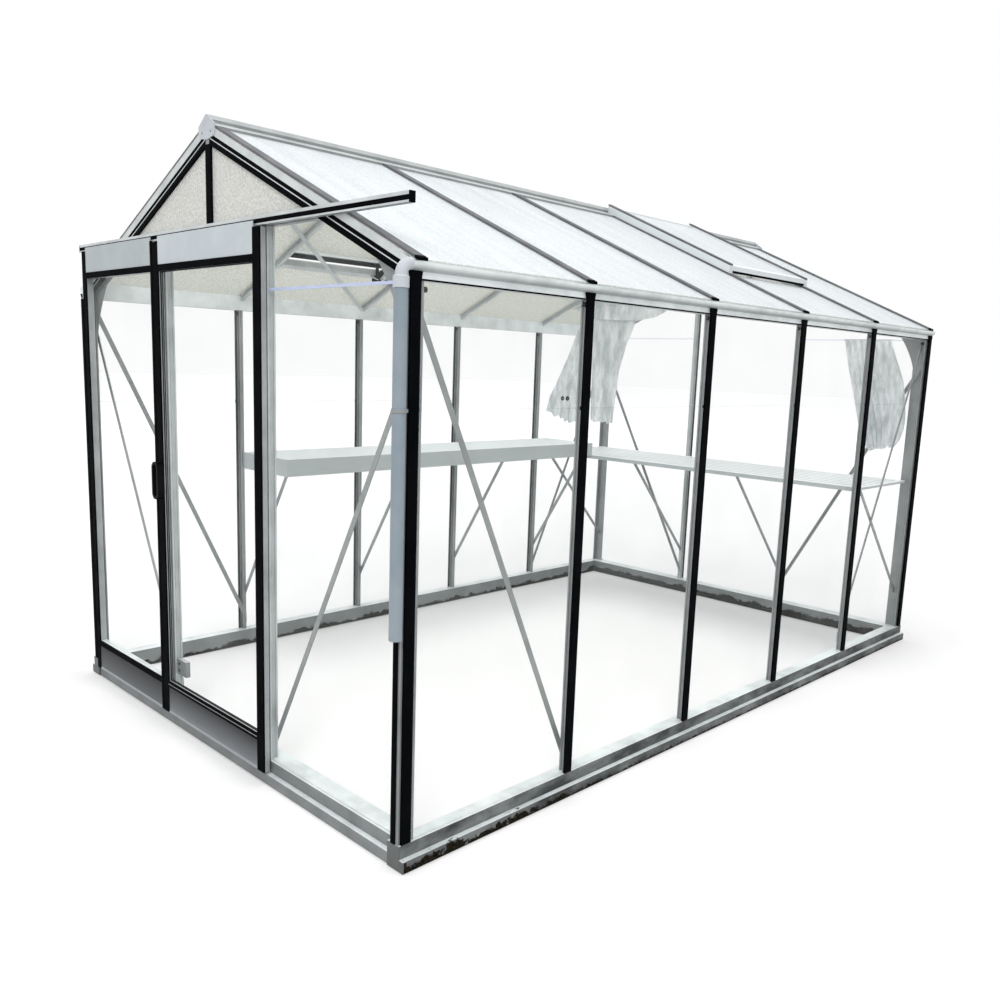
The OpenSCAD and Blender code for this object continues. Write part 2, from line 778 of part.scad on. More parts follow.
// Roof vents: a raised sash over two roof strips, a little open along its lower edge
module vent_frame(i, start) {
    y0 = post_y(i);
    y1 = post_y(i + 1);
    for (y = [y0, y1])
        slope_slab(start, vent_len, -vent_h, -bed_gap, y - vent_bar / 2, y + vent_bar / 2);
    slope_slab(start, start + vent_bar, -vent_h, -vent_gap, y0 + vent_bar / 2, y1 - vent_bar / 2);
    slope_slab(vent_len - vent_bar, vent_len, -vent_h, -vent_gap, y0 + vent_bar / 2, y1 - vent_bar / 2);
}
module vent_glass(i, start) {
    slope_slab(start + vent_bar, vent_len - vent_bar, -vent_h + glass_t, -vent_h + glass_t * 2,
               post_y(i) + vent_bar / 2, post_y(i + 1) - vent_bar / 2);
}
module roof_vent_frames() {
    color(aluminium) {
        vent_frame(right_vent_bay, right_vent_start);
        left_side() vent_frame(left_vent_bay, left_vent_start);
    }
}
module roof_vent_glass() {
    color(obscured) {
        vent_glass(right_vent_bay, right_vent_start);
        left_side() vent_glass(left_vent_bay, left_vent_start);
    }
}

// Place of the opener along its bay, clear of the roof brace
opener_share = 0.75;
// Automatic opener: bracket on the cross bar, arm to the sash, and cylinder along the slope
module vent_opener() {
    mid_y = post_y(left_vent_bay) + bay * opener_share;
    x1 = vent_len - vent_lap;
    under = bar_depth + cross_bar_d;
    deep = under + opener_r * 2;
    color(black) left_side() {
        slope_slab(x1 - brace_w, x1, bed_gap - vent_gap, deep, mid_y - brace_t, mid_y + brace_t);
        slope_slab(x1, x1 + cross_bar_w, under, deep, mid_y - brace_t, mid_y + brace_t);
        translate([x1 - brace_w, mid_y, roof(x1 - brace_w, under + opener_r)])
            rotate([0, roof_pitch - 90, 0]) cylinder(r = opener_r, h = opener_len);
    }
}

// Flat diagonal braces: side walls' end bays, and the gables' outer panels
module wall_braces() {
    side_head = gable_y + bar_depth + corner_t + brace_t;
    color(aluminium) both_ends() both_sides() {
        along_x(inner_x - brace_t, inner_x)
            brace_outline(side_head, eave_z - side_brace_drop,
                          front_y + bay + bead_w / 2, base_h + brace_foot);
        along_y(gable_y + inner_depth, gable_y + brace_depth)
            brace_outline(bar_x - corner_t, eave_z - gable_brace_drop,
                          jamb_x - bead_w / 2, base_h + brace_foot);
    }
}

// Flat brace under the left slope, from the front of the ridge to the second post's eave
module roof_brace() {
    depth = inner_depth + bed_gap;
    x0 = ridge_half;
    run = gutter_in - x0;
    y0 = gable_y + roof_brace_start;
    slant = atan2(post_y(2) - y0, run / cos(roof_pitch));
    length = run / cos(roof_pitch) / cos(slant);
    half = brace_w / 2;
    color(aluminium) left_side() translate([x0, y0, roof(x0, depth)])
        rotate([0, roof_pitch, 0]) rotate([0, 0, slant])
        translate([brace_w, -half, -brace_t]) cube([length - brace_w * 2, brace_w, brace_t]);
}

// Door rail: channel that is open along its underside, where the hangers pass,
// with a black strip set into its front between two lips
module door_rail() {
    inner_back = rail_back - rail_wall;
    inner_front = rail_front + rail_wall;
    color(aluminium) along_x(-rail_half, rail_half) difference() {
        translate([rail_front, rail_z]) square([rail_d, rail_h]);
        translate([inner_front, rail_z + rail_wall])
            square([inner_back - inner_front, rail_h - rail_wall * 2]);
        translate([rail_mid - slot_w / 2, rail_z - overrun]) square([slot_w, rail_h - rail_wall]);
        translate([rail_front - overrun, rail_strip_z]) square([rail_strip_t + overrun, rail_strip_h]);
    }
}
module door_rail_trim() {
    color(black) {
        slab([-rail_half, rail_front, rail_strip_z],
             [rail_half, rail_front + rail_strip_t, rail_strip_z + rail_strip_h]);
        both_sides()
            slab([rail_half, rail_front, rail_z], [rail_half + end_t, rail_back, rail_z + rail_h]);
    }
}

// Guide block on the left jamb, behind the closed door
module door_guide_block() {
    block_x = bar_w / 2 - jamb_x;
    block_z = base_h + brace_foot * 2;
    color(white) slab([block_x, gable_y + bar_depth, block_z],
                      [block_x + block_w, gable_y + inner_depth - bead_t, block_z + block_h]);
}

// Frame of a leaf from x0 to x1 with stiles w0 and w1, from y_front to y_back
module leaf_frame(x0, x1, w0, w1, top, y_back) {
    difference() {
        slab([x0, door_front, door_z], [x1, y_back, top]);
        slab([x0 + w0, door_front - overrun, kick_top], [x1 - w1, y_back + overrun, header_z]);
        slab([x0 + w0, door_front - overrun, header_z + cross_h],
             [x1 - w1, y_back + overrun, top - cross_h]);
        slab([x0 + w0, door_front - overrun, door_z + cross_h / 2],
             [x1 - w1, y_back + overrun, kick_top - cross_h]);
    }
}
// Black strips on a leaf's stiles, header rail and kick rail
module leaf_strips(x0, x1, w0, w1, top) {
    slab([x0, strip_front, door_z], [x0 + w0, door_front, top]);
    slab([x1 - w1, strip_front, door_z], [x1, door_front, top]);
    slab([x0 + w0, strip_front, header_z], [x1 - w1, door_front, header_z + cross_h]);
    slab([x0 + w0, strip_front, kick_top - cross_h], [x1 - w1, door_front, kick_top]);
}
// Thin plates over a leaf's header and kick openings
module header_plate(x0, x1, top) {
    slab([x0, door_front - plate_t, header_z + cross_h], [x1, door_front, top]);
}
module kick_plate(x0, x1) {
    lip_y = strip_front - door_front;
    along_x(x0, x1) translate([door_front, 0]) polygon([
        [0, door_z], [lip_y, door_z], [lip_y, door_z + plate_t], [-plate_t, door_z + kick_lip],
        [-plate_t, kick_top - cross_h], [0, kick_top - cross_h]
    ]);
}
module leaf_pane(x0, x1) {
    pane_y = door_front + door_d / 2 - glass_t / 2;
    slab([x0, pane_y, kick_top], [x1, pane_y + glass_t, header_z]);
}

// Fixed panel to the left of the door, in the door's plane
module side_panel_frame() {
    color(aluminium) leaf_frame(-panel_out, -panel_in, panel_stile_w, panel_inner_w, rail_z, gable_y);
}
module side_panel_strips() {
    color(black) leaf_strips(-panel_out, -panel_in, panel_stile_w, panel_inner_w, rail_z);
}
module side_panel_header() {
    color(pale_panel)
        header_plate(panel_stile_w - panel_out, -panel_in - panel_inner_w, rail_z + header_rise);
}
module side_panel_kick() {
    color(pale_panel) kick_plate(panel_stile_w - panel_out, -panel_in - panel_inner_w);
}
module side_panel_glass() {
    color(clear) leaf_pane(panel_stile_w - panel_out, -panel_in - panel_inner_w);
}

// Sliding leaf, drawn shut
module door_frame() {
    color(aluminium) leaf_frame(-door_half, door_half, stile_w, stile_w, door_top, door_back);
}
module door_strips() { color(black) leaf_strips(-door_half, door_half, stile_w, stile_w, door_top); }
module door_header_panel() {
    color(pale_panel) header_plate(stile_w - door_half, door_half - stile_w, rail_z + header_rise);
}
module door_kick_panel() { color(pale_panel) kick_plate(stile_w - door_half, door_half - stile_w); }
module door_glass() { color(clear) leaf_pane(stile_w - door_half, door_half - stile_w); }

// Oval ring handle on the left stile
module oval(width, height) {
    hull() for (s = [-1, 1]) translate([0, s * (height - width) / 2]) circle(d = width, $fn = 32);
}
module door_handle() {
    color(black) translate([handle_w / 2 - door_half, 0, handle_z])
        along_y(strip_front - handle_d, strip_front)
        difference() {
            oval(handle_w, handle_h);
            oval(handle_w - handle_wall * 2, handle_h - handle_wall * 2);
        }
}

// Hangers: a plate through the rail's slot with a wheel on each side of it
module door_hangers() {
    color(aluminium) both_sides() translate([door_half * hanger_share, 0, 0]) {
        slab([-hanger_w / 2, rail_mid - hanger_t / 2, door_top],
             [hanger_w / 2, rail_mid + hanger_t / 2, wheel_z]);
        translate([0, rail_mid + hanger_t / 2 + wheel_t, wheel_z]) rotate([90, 0, 0])
            cylinder(r = wheel_r, h = hanger_t + wheel_t * 2);
    }
}

// Tray bench along the left wall, open at the top
module bench_tray() {
    color(aluminium) left_side() difference() {
        slab([inner_x - bench_d, bench_start, bench_z - bench_wall],
             [inner_x, shelf_front, bench_z + bench_rim]);
        slab([inner_x - bench_d + bench_wall, bench_start + bench_wall, bench_z],
             [inner_x - bench_wall, shelf_front - bench_wall, bench_z + bench_rim + overrun]);
    }
}
// Back shelf: flat sheet with a lip folded down along its front edge
module back_shelf() {
    color(white) along_x(-shelf_end, shelf_end) polygon([
        [shelf_front, bench_z - shelf_lip], [shelf_front + bench_wall, bench_z - shelf_lip],
        [shelf_front + bench_wall, bench_z - shelf_t], [shelf_back, bench_z - shelf_t],
        [shelf_back, bench_z], [shelf_front, bench_z]
    ]);
}
// Struts from the bench to the left wall's posts, and from the shelf to the back posts and corners
module shelf_struts() {
    back_face = back_y + gable_out;
    foot = base_h + strut_foot;
    edge = shelf_front + bench_wall;
    top = bench_z - shelf_t;
    color(aluminium) {
        left_side() for (i = [1 : side_bays - 1]) {
            strut_y = post_y(i) + bead_w / 2 - brace_t;
            along_y(strut_y, strut_y + brace_t)
                strut_outline(inner_x, foot, inner_x - bench_d, bench_z - bench_wall);
        }
        both_sides() {
            along_x(jamb_x - brace_t / 2, jamb_x + brace_t / 2)
                strut_outline(back_face - inner_depth, foot, edge, top);
            along_x(shelf_end - brace_t * 2, shelf_end - brace_t)
                strut_outline(back_face - bar_depth - corner_t, foot, edge, top);
        }
    }
}

// Downpipe in front of the right corner, open at its lower end
pipe_y = front_y - pipe_drop_y;
pipe_top = outlet_z - elbow_r - shoulder_h;
module downpipe() {
    color(pipe_grey) translate([outlet_x, pipe_y, 0]) difference() {
        translate([0, 0, pipe_end_z]) cylinder(r = pipe_r, h = pipe_top - pipe_end_z);
        translate([0, 0, pipe_end_z - overrun])
            cylinder(r = pipe_r - pipe_wall, h = pipe_top - pipe_end_z + overrun * 2);
    }
}
// Elbow from the gutter's end plate: a bend, a sloping shoulder, and a collar over the pipe's top
module downpipe_elbow() {
    seat_r = pipe_r + seat_gap;
    color(white) {
        translate([outlet_x, pipe_y + elbow_r, outlet_z - elbow_r]) rotate([90, 0, -90])
            rotate_extrude(angle = 90) translate([elbow_r, 0]) difference() {
                circle(r = outlet_r);
                circle(r = outlet_bore);
            }
        translate([outlet_x, pipe_y, pipe_top]) rotate_extrude() polygon([
            [seat_r, -collar_h], [collar_r, -collar_h], [collar_r, 0], [outlet_r, shoulder_h],
            [outlet_bore, shoulder_h], [outlet_bore, 0], [seat_r, 0]
        ]);
    }
}
// Clip that holds the pipe to the corner post's nose
module pipe_clip() {
    reach = pipe_drop_y - nose_out;
    color(aluminium) translate([outlet_x, pipe_y, clip_z - clip_h / 2]) difference() {
        union() {
            cylinder(r = collar_r, h = clip_h);
            slab([-pipe_r / 2, 0, 0], [pipe_r / 2, reach, clip_h]);
        }
        translate([0, 0, -overrun]) cylinder(r = pipe_r + seat_gap, h = clip_h + overrun * 2);
    }
}

// Curtains: the space that the gathered cloth fills
left_shares = [0.45, 0.97, 0.108, 0.334];
right_shares = [0.638, 0.878, 0.966, 0.937, 0.834, 0.76];
module left_curtain() {
    y0 = post_y(side_bays - 1) + bead_w / 2 + seat_gap;
    x = inner_x * left_shares;
    top = inner_depth - bead_t;
    hem = bench_z + left_hem;
    swag = eave_z + swag_rise;
    color(cloth) left_side() along_y(y0, y0 + curtain_d) polygon([
        [x[0], hem], [x[1], hem], [x[1], roof(x[1], top)], [x[2], roof(x[2], top)],
        [x[2], swag], [x[3], swag]
    ]);
}
module right_curtain() {
    y1 = shelf_back - seat_gap;
    x = inner_x * right_shares;
    hem = bench_z + right_hem;
    drop = eave_z - hem;
    bulge_share = 0.24;
    low_share = 0.06;
    side_share = 0.2;
    color(cloth) along_y(y1 - curtain_d, y1) polygon([
        [x[0], eave_z], [x[5], hem + drop * side_share], [x[4], hem], [x[3], hem + drop * low_share],
        [x[2], hem + drop * bulge_share], [x[1], eave_z]
    ]);
}

base_sills();
base_corners();
corner_posts();
corner_gussets();
side_wall_posts();
side_wall_strips();
side_wall_glass();
gutters();
gutter_end_plates();
ridge_beam();
ridge_end_caps();
roof_bars();
roof_strips();
roof_strip_ends();
roof_glass();
gable_rafters();
gable_posts();
gable_ties();
gable_strips();
gable_glass();
gable_top_glass();
pane_joints();
roof_vent_frames();
roof_vent_glass();
vent_opener();
wall_braces();
roof_brace();
door_rail();
door_rail_trim();
door_guide_block();
side_panel_frame();
side_panel_strips();
side_panel_header();
side_panel_kick();
side_panel_glass();
door_frame();
door_strips();
door_header_panel();
door_kick_panel();
door_glass();
door_handle();
door_hangers();
bench_tray();
back_shelf();
shelf_struts();
downpipe();
downpipe_elbow();
pipe_clip();
left_curtain();
right_curtain();
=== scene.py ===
"""Looks of the glass greenhouse: finishes, cloth of the curtains, small fittings, studio and camera."""
import json
import math
import random

import bpy
from mathutils import Matrix, Vector


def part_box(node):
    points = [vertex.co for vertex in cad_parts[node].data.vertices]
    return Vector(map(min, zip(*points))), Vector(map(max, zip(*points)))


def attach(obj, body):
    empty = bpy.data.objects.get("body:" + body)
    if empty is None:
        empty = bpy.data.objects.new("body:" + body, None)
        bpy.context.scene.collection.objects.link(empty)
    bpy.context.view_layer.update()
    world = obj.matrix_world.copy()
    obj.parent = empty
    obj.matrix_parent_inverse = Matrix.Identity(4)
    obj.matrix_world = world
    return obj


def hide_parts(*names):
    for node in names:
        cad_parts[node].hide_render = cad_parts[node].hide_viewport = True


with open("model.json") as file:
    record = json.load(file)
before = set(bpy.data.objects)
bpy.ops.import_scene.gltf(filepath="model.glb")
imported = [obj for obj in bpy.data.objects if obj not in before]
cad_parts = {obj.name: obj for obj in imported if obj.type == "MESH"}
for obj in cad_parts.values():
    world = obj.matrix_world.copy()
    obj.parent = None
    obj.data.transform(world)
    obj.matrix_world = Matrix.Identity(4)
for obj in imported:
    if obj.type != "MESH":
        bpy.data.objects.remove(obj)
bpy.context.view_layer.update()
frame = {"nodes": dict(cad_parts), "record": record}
nodes = frame["nodes"]
scene = bpy.context.scene

MM = 0.001
BAYS = 5
HOUSE, DOOR = "house", "door"

# Places that several pieces share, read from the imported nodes
STRIP_HEAD = 23 * MM
BAR_DEPTH = 24 * MM
SILL_LEDGE = 20 * MM
RIDGE_CAP = 20 * MM
post_low, post_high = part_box("side_wall_posts")
strip_low, strip_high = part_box("side_wall_strips")
sill_top, eave_z = post_low[2], post_high[2]
inner_x = post_high[0] - BAR_DEPTH
glass_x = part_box("side_wall_glass")[1][0]
wall_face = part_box("base_sills")[1][0] - SILL_LEDGE
front_axis = strip_low[1] + STRIP_HEAD
back_axis = strip_high[1] - STRIP_HEAD
middle_y = (front_axis + back_axis) / 2
bay = (back_axis - front_axis) / BAYS
gable_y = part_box("gable_posts")[0][1]
jamb_x = bay / 2
PITCH = math.radians(24.2)
ridge_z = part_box("ridge_beam")[1][2] - RIDGE_CAP


def roof_z(x, depth=0.0):
    """Height of the roof at a level distance from the ridge, at a depth below the strips' faces."""
    return ridge_z - math.tan(PITCH) * abs(x) - depth / math.cos(PITCH)


# Node trees
class Tree:
    """Short calls for building a material's node tree."""

    def __init__(self, name):
        self.material = bpy.data.materials.new(name)
        self.material.use_nodes = True
        self.nodes = self.material.node_tree.nodes
        self.links = self.material.node_tree.links
        self.shader = self.nodes["Principled BSDF"]
        self.place = self.nodes.new("ShaderNodeTexCoord").outputs["Object"]

    def link(self, source, target):
        self.links.new(source, target)

    def set(self, socket, value):
        """Links another node's output, or sets a number or colour directly."""
        if isinstance(value, bpy.types.NodeSocket):
            self.link(value, socket)
        elif socket.type == "RGBA" and len(value) == 3:
            socket.default_value = (*value, 1.0)
        else:
            socket.default_value = value

    def put(self, **values):
        for key, value in values.items():
            self.set(self.shader.inputs[key.replace("_", " ")], value)

    def scaled(self, scale):
        node = self.nodes.new("ShaderNodeMapping")
        node.inputs["Scale"].default_value = scale
        self.link(self.place, node.inputs["Vector"])
        return node.outputs["Vector"]

    def noise(self, size, detail=2.0, roughness=0.5, vector=None):
        """Noise with features of about the given size in metres."""
        node = self.nodes.new("ShaderNodeTexNoise")
        node.inputs["Scale"].default_value = 1.0 / size
        node.inputs["Detail"].default_value = detail
        node.inputs["Roughness"].default_value = roughness
        self.link(vector or self.place, node.inputs["Vector"])
        return node.outputs["Fac"]

    def span(self, value, low, high, new_low=0.0, new_high=1.0):
        """Maps a value between two limits to a new range, and holds it there."""
        node = self.nodes.new("ShaderNodeMapRange")
        limits = {"From Min": low, "From Max": high, "To Min": new_low, "To Max": new_high}
        for key, number in limits.items():
            node.inputs[key].default_value = number
        self.link(value, node.inputs["Value"])
        return node.outputs["Result"]

    def math(self, operation, a, b):
        node = self.nodes.new("ShaderNodeMath")
        node.operation = operation
        self.set(node.inputs[0], a)
        self.set(node.inputs[1], b)
        return node.outputs["Value"]

    def mix(self, factor, a, b):
        node = self.nodes.new("ShaderNodeMix")
        node.data_type = "RGBA"
        colours = [socket for socket in node.inputs if socket.type == "RGBA"]
        self.set(node.inputs[0], factor)
        self.set(colours[0], a)
        self.set(colours[1], b)
        return next(socket for socket in node.outputs if socket.type == "RGBA")

    def bump(self, height, distance, strength=1.0):
        node = self.nodes.new("ShaderNodeBump")
        node.inputs["Strength"].default_value = strength
        node.inputs["Distance"].default_value = distance
        self.link(height, node.inputs["Height"])
        self.link(node.outputs["Normal"], self.shader.inputs["Normal"])

    def axis(self, index, vector=None):
        node = self.nodes.new("ShaderNodeSeparateXYZ")
        self.link(vector or self.place, node.inputs["Vector"])
        return node.outputs[index]

    def upward(self):
        """How far a face looks up: one for a level top, minus one for an underside."""
        return self.axis(2, self.nodes.new("ShaderNodeTexCoord").outputs["Normal"])

    def by_facing(self, under, side, top):
        """One colour for undersides, one for upright faces and one for tops: painted light and shade by
        which way a face is turned.
        """
        up = self.upward()
        low = self.mix(self.span(up, -0.75, -0.2), under, side)
        return self.mix(self.span(up, 0.15, 0.75), low, top)


def aluminium(name, under, side, top, soiled_and_shaded=False):
    """Mill aluminium: painted light on the tops, painted shade on the upright faces and undersides, random
    stains, and soil and a painted shade on the right sill where asked.
    """
    tree = Tree(name)
    stains = tree.span(tree.noise(0.14, 4.0, 0.62), 0.42, 0.78)
    # Painted light on the tops, painted shade on the upright faces and undersides.
    clean = tree.by_facing(*((tone, tone * 1.06, tone * 1.07) for tone in (under, side, top)))
    dull = tree.by_facing(*((tone * 0.6, tone * 0.65, tone * 0.65) for tone in (under, side, top)))
    colour = tree.mix(tree.math("MULTIPLY", stains, 0.8), clean, dull)
    rough = tree.span(tree.noise(0.04, 2.0), 0.3, 0.7, 0.34, 0.5)
    metal = 0.3
    if soiled_and_shaded:
        soil = soil_share(tree)
        speckle = tree.span(tree.noise(0.007, 4.0, 0.8), 0.4, 0.65)
        grain = tree.mix(speckle, (0.002, 0.002, 0.0017), (0.035, 0.029, 0.018))
        # Painted shade: dark patches on the right sill's upright outer faces.
        colour = tree.mix(sill_painted_shade(tree), colour, (0.03, 0.031, 0.033))
        colour = tree.mix(soil, colour, grain)
        rough = tree.math("MAXIMUM", rough, tree.math("MULTIPLY", soil, 0.95))
        metal = tree.math("SUBTRACT", metal, tree.math("MULTIPLY", soil, metal))
        tree.put(Specular_IOR_Level=0.03)
    tree.put(Base_Color=colour, Metallic=metal, Roughness=rough)
    return tree.material


def sill_painted_shade(tree):
    """Painted shade and dark reflections: patches on the upright outer faces of the right sill."""
    upright = tree.span(tree.upward(), 0.6, 0.2)
    outer = tree.span(tree.axis(0), wall_face - 7 * MM, wall_face - 2 * MM)
    patches = tree.noise(0.12, 4.0, 0.65, tree.scaled((1.0, 0.5, 1.0)))
    patches = tree.span(patches, 0.36, 0.62, 0.1, 0.85)
    return tree.math("MULTIPLY", tree.math("MULTIPLY", upright, outer), patches)


def soil_share(tree):
    """Soil along the ground: a ragged band inside the sills, splashes by the front right corner."""
    inner_right, inner_front, inner_back = 1.1, -1.72, 1.85
    back_from, back_extra = 1.7, 20 * MM
    splash_from, splash_full = -0.75, -1.2
    outer_line = 6 * MM
    x, y, z = (tree.axis(index) for index in range(3))
    ragged = tree.span(tree.noise(0.02, 6.0, 0.75), 0.3, 0.7, -12 * MM, 12 * MM)
    patches = tree.span(tree.noise(0.11, 4.0, 0.6), 0.44, 0.6)
    behind = tree.span(y, inner_front, inner_front + 20 * MM)
    inside = tree.math("MULTIPLY", tree.span(y, inner_back, inner_back - 10 * MM),
                       tree.span(x, inner_right, inner_right - 10 * MM))
    inside = tree.math("MULTIPLY", inside, behind)
    higher = tree.span(y, back_from, back_from + 40 * MM, 0.0, back_extra)
    band = tree.math("ADD", tree.span(patches, 0.0, 1.0, 13 * MM, 32 * MM), higher)
    band = tree.math("MULTIPLY", inside, band)
    corner = tree.math("MULTIPLY", tree.span(y, splash_from, splash_full),
                       tree.span(x, wall_face - 5 * MM, wall_face + 5 * MM))
    splash = tree.math("MULTIPLY", corner, tree.span(patches, 0.0, 1.0, 4 * MM, 34 * MM))
    line = tree.math("MULTIPLY", tree.span(x, wall_face + 5 * MM, wall_face + 15 * MM), outer_line)
    height = tree.math("MAXIMUM", tree.math("MAXIMUM", band, splash), line)
    depth = tree.math("SUBTRACT", tree.math("ADD", height, ragged), z)
    covered = tree.span(depth, -3 * MM, 3 * MM)
    return tree.math("MULTIPLY", covered, tree.span(height, 2 * MM, 6 * MM))


def black_strip(name, tone, worn, gloss, sheen=0.04):
    """Extruded plastic with a dusty bloom."""
    tree = Tree(name)
    bloom = tree.span(tree.noise(0.12, 4.0, 0.6), 0.45, 0.8)
    tree.put(Base_Color=tree.mix(bloom, tone, worn), Specular_IOR_Level=sheen,
             Roughness=tree.span(tree.noise(0.03, 2.0), 0.3, 0.7, gloss, gloss + 0.15))
    return tree.material


def clear_glass():
    """Thin clear pane: almost invisible, with faint dust and a slight green cast."""
    tree = Tree("clear_glass")
    tree.put(Base_Color=(0.78, 0.86, 0.85), Roughness=0.05, Specular_IOR_Level=0.3,
             Alpha=tree.span(tree.noise(0.3, 1.0), 0.35, 0.7, 0.02, 0.05))
    return tree.material


def obscured_glass():
    """Hammered pane with faint rain streaks: a painted reflection of the sky on the tops, and a painted
    warm grey on the undersides for the light seen through it.
    """
    tree = Tree("obscured_glass")
    dimples = tree.noise(0.009, 1.0)
    streaks = tree.noise(0.06, 3.0, 0.6, tree.scaled((0.12, 1.0, 0.12)))
    # Painted light: tops a cool pale grey as the sky's reflection, undersides a warm grey for the light
    # through the pane.
    above = tree.mix(tree.span(streaks, 0.35, 0.7), (0.72, 0.76, 0.78), (0.62, 0.66, 0.69))
    pale = tree.by_facing((0.8, 0.8, 0.72), (0.74, 0.74, 0.71), above)
    dim = tree.by_facing((0.7, 0.7, 0.62), (0.62, 0.62, 0.59), above)
    colour = tree.mix(tree.span(dimples, 0.35, 0.65), dim, pale)
    tree.put(Base_Color=colour, Roughness=0.35, Specular_IOR_Level=0.2,
             Alpha=tree.span(dimples, 0.3, 0.7, 0.72, 0.86))
    tree.bump(dimples, 4 * MM, 0.7)
    return tree.material


def painted(name, tone, shade, rough=0.42):
    """Sheet or moulding in one colour with handling marks."""
    tree = Tree(name)
    marks = tree.span(tree.noise(0.16, 4.0, 0.6), 0.42, 0.75)
    tree.put(Base_Color=tree.mix(tree.math("MULTIPLY", marks, 0.8), tone, shade), Specular_IOR_Level=0.3,
             Roughness=tree.span(tree.noise(0.02, 2.0), 0.3, 0.7, rough, rough + 0.14))
    return tree.material


def tray_painted_light(tree):
    """Where light is painted: one on the inner faces of the bench's tray, nothing on its outside or on the
    shelf.
    """
    skin, edge = 2 * MM, 0.5 * MM
    low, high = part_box("bench_tray")
    within = tree.span(tree.axis(2), low[2] + skin, low[2] + skin + edge)
    for index in (0, 1):
        place = tree.axis(index)
        for side, inward in ((low[index], 1), (high[index], -1)):
            inside = tree.span(place, side + inward * skin, side + inward * (skin + edge))
            within = tree.math("MULTIPLY", within, inside)
    return within


def pale_sheet():
    """Bench and shelf: sheet with a soft sheen, painted almost white where the light falls on it, with
    painted shade on its sides and undersides and painted light on the tray's inner faces.
    """
    tree = Tree("bench_sheet")
    grain = tree.noise(0.004, 2.0, 0.5, tree.scaled((1.0, 0.03, 1.0)))
    marks = tree.span(tree.noise(0.2, 4.0, 0.6), 0.42, 0.75, 0.0, 0.6)
    clean = tree.by_facing((0.4, 0.43, 0.44), (0.46, 0.5, 0.51), (0.84, 0.87, 0.88))
    dull = tree.by_facing((0.3, 0.32, 0.33), (0.36, 0.4, 0.41), (0.74, 0.78, 0.8))
    colour = tree.mix(tree.math("MAXIMUM", marks, tree.span(grain, 0.45, 0.7, 0.0, 0.5)), clean, dull)
    # Painted light on the tray's inner faces.
    bright = tree.mix(marks, (0.9, 0.93, 0.94), (0.8, 0.84, 0.85))
    colour = tree.mix(tray_painted_light(tree), colour, bright)
    tree.put(Base_Color=colour, Specular_IOR_Level=0.3, Roughness=tree.span(grain, 0.3, 0.7, 0.4, 0.55))
    return tree.material


def brushed_plate():
    """Kick plates: brushed across, with painted shade darkening them towards the top, darker on the left
    one, a painted highlight along the bottom lip, and dried splashes.
    """
    tree = Tree("kick_plate")
    (door_edge, _, low), (_, _, high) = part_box("door_kick_panel")
    brush = tree.noise(0.0022, 2.0, 0.5, tree.scaled((0.02, 1.0, 1.0)))
    # Painted shade: darker towards the top.
    shade = tree.math("POWER", tree.span(tree.axis(2), low, high), 0.7)
    left = tree.span(tree.axis(0), door_edge, door_edge - 1 * MM, 1.0, 0.6)
    splash = tree.span(tree.noise(0.05, 5.0, 0.7), 0.52, 0.75, 0.0, 0.3)
    colour = tree.mix(tree.span(brush, 0.3, 0.75), (0.22, 0.24, 0.26), (0.32, 0.34, 0.36))
    colour = tree.mix(shade, colour, (0.02, 0.021, 0.023))
    colour = tree.mix(left, (0.0, 0.0, 0.0), colour)
    # Painted highlight: a lighter band along the bottom lip.
    lip_highlight = tree.span(tree.axis(2), low + 12 * MM, low + 10 * MM)
    colour = tree.mix(lip_highlight, colour, (0.34, 0.36, 0.38))
    colour = tree.mix(splash, colour, (0.07, 0.066, 0.056))
    tree.put(Base_Color=colour, Metallic=0.3, Specular_IOR_Level=0.2,
             Roughness=tree.span(brush, 0.3, 0.7, 0.42, 0.56))
    return tree.material


def cloth():
    """Thin white shade cloth: close weave, creased lengthwise with painted shade along the creases, some
    light through it.
    """
    tree = Tree("curtain_cloth")
    weave = tree.noise(0.003, 1.0, 0.5, tree.scaled((1.0, 1.0, 0.35)))
    creases = tree.noise(0.05, 3.0, 0.65, tree.scaled((1.0, 1.0, 0.3)))
    # Painted shade: darker where the creases fall.
    shade = tree.mix(tree.span(creases, 0.36, 0.64), (0.4, 0.44, 0.46), (0.8, 0.83, 0.84))
    colour = tree.mix(tree.math("MULTIPLY", weave, 0.3), shade, (0.72, 0.75, 0.76))
    tree.put(Base_Color=colour, Roughness=0.9, Specular_IOR_Level=0.1,
             Alpha=tree.span(weave, 0.3, 0.7, 0.88, 1.0))
    tree.bump(creases, 6 * MM)
    return tree.material


def pane_edge():
    """Cut edge of a lapped pane: a faint green line."""
    tree = Tree("pane_edge")
    tree.put(Base_Color=(0.5, 0.62, 0.58), Roughness=0.2, Specular_IOR_Level=0.3,
             Alpha=tree.span(tree.noise(0.2, 1.0), 0.3, 0.7, 0.08, 0.2))
    return tree.material


def joint_strip():
    """Lavender strip where two panes meet, faint in the shaded back gable."""
    tree = Tree("joint_strip")
    tone = tree.mix(tree.noise(0.05, 2.0), (0.46, 0.53, 0.76), (0.58, 0.63, 0.8))
    tree.put(Base_Color=tone, Roughness=0.4, Specular_IOR_Level=0.3,
             Alpha=tree.span(tree.axis(1), -0.1, 0.1, 1.0, 0.2))
    return tree.material


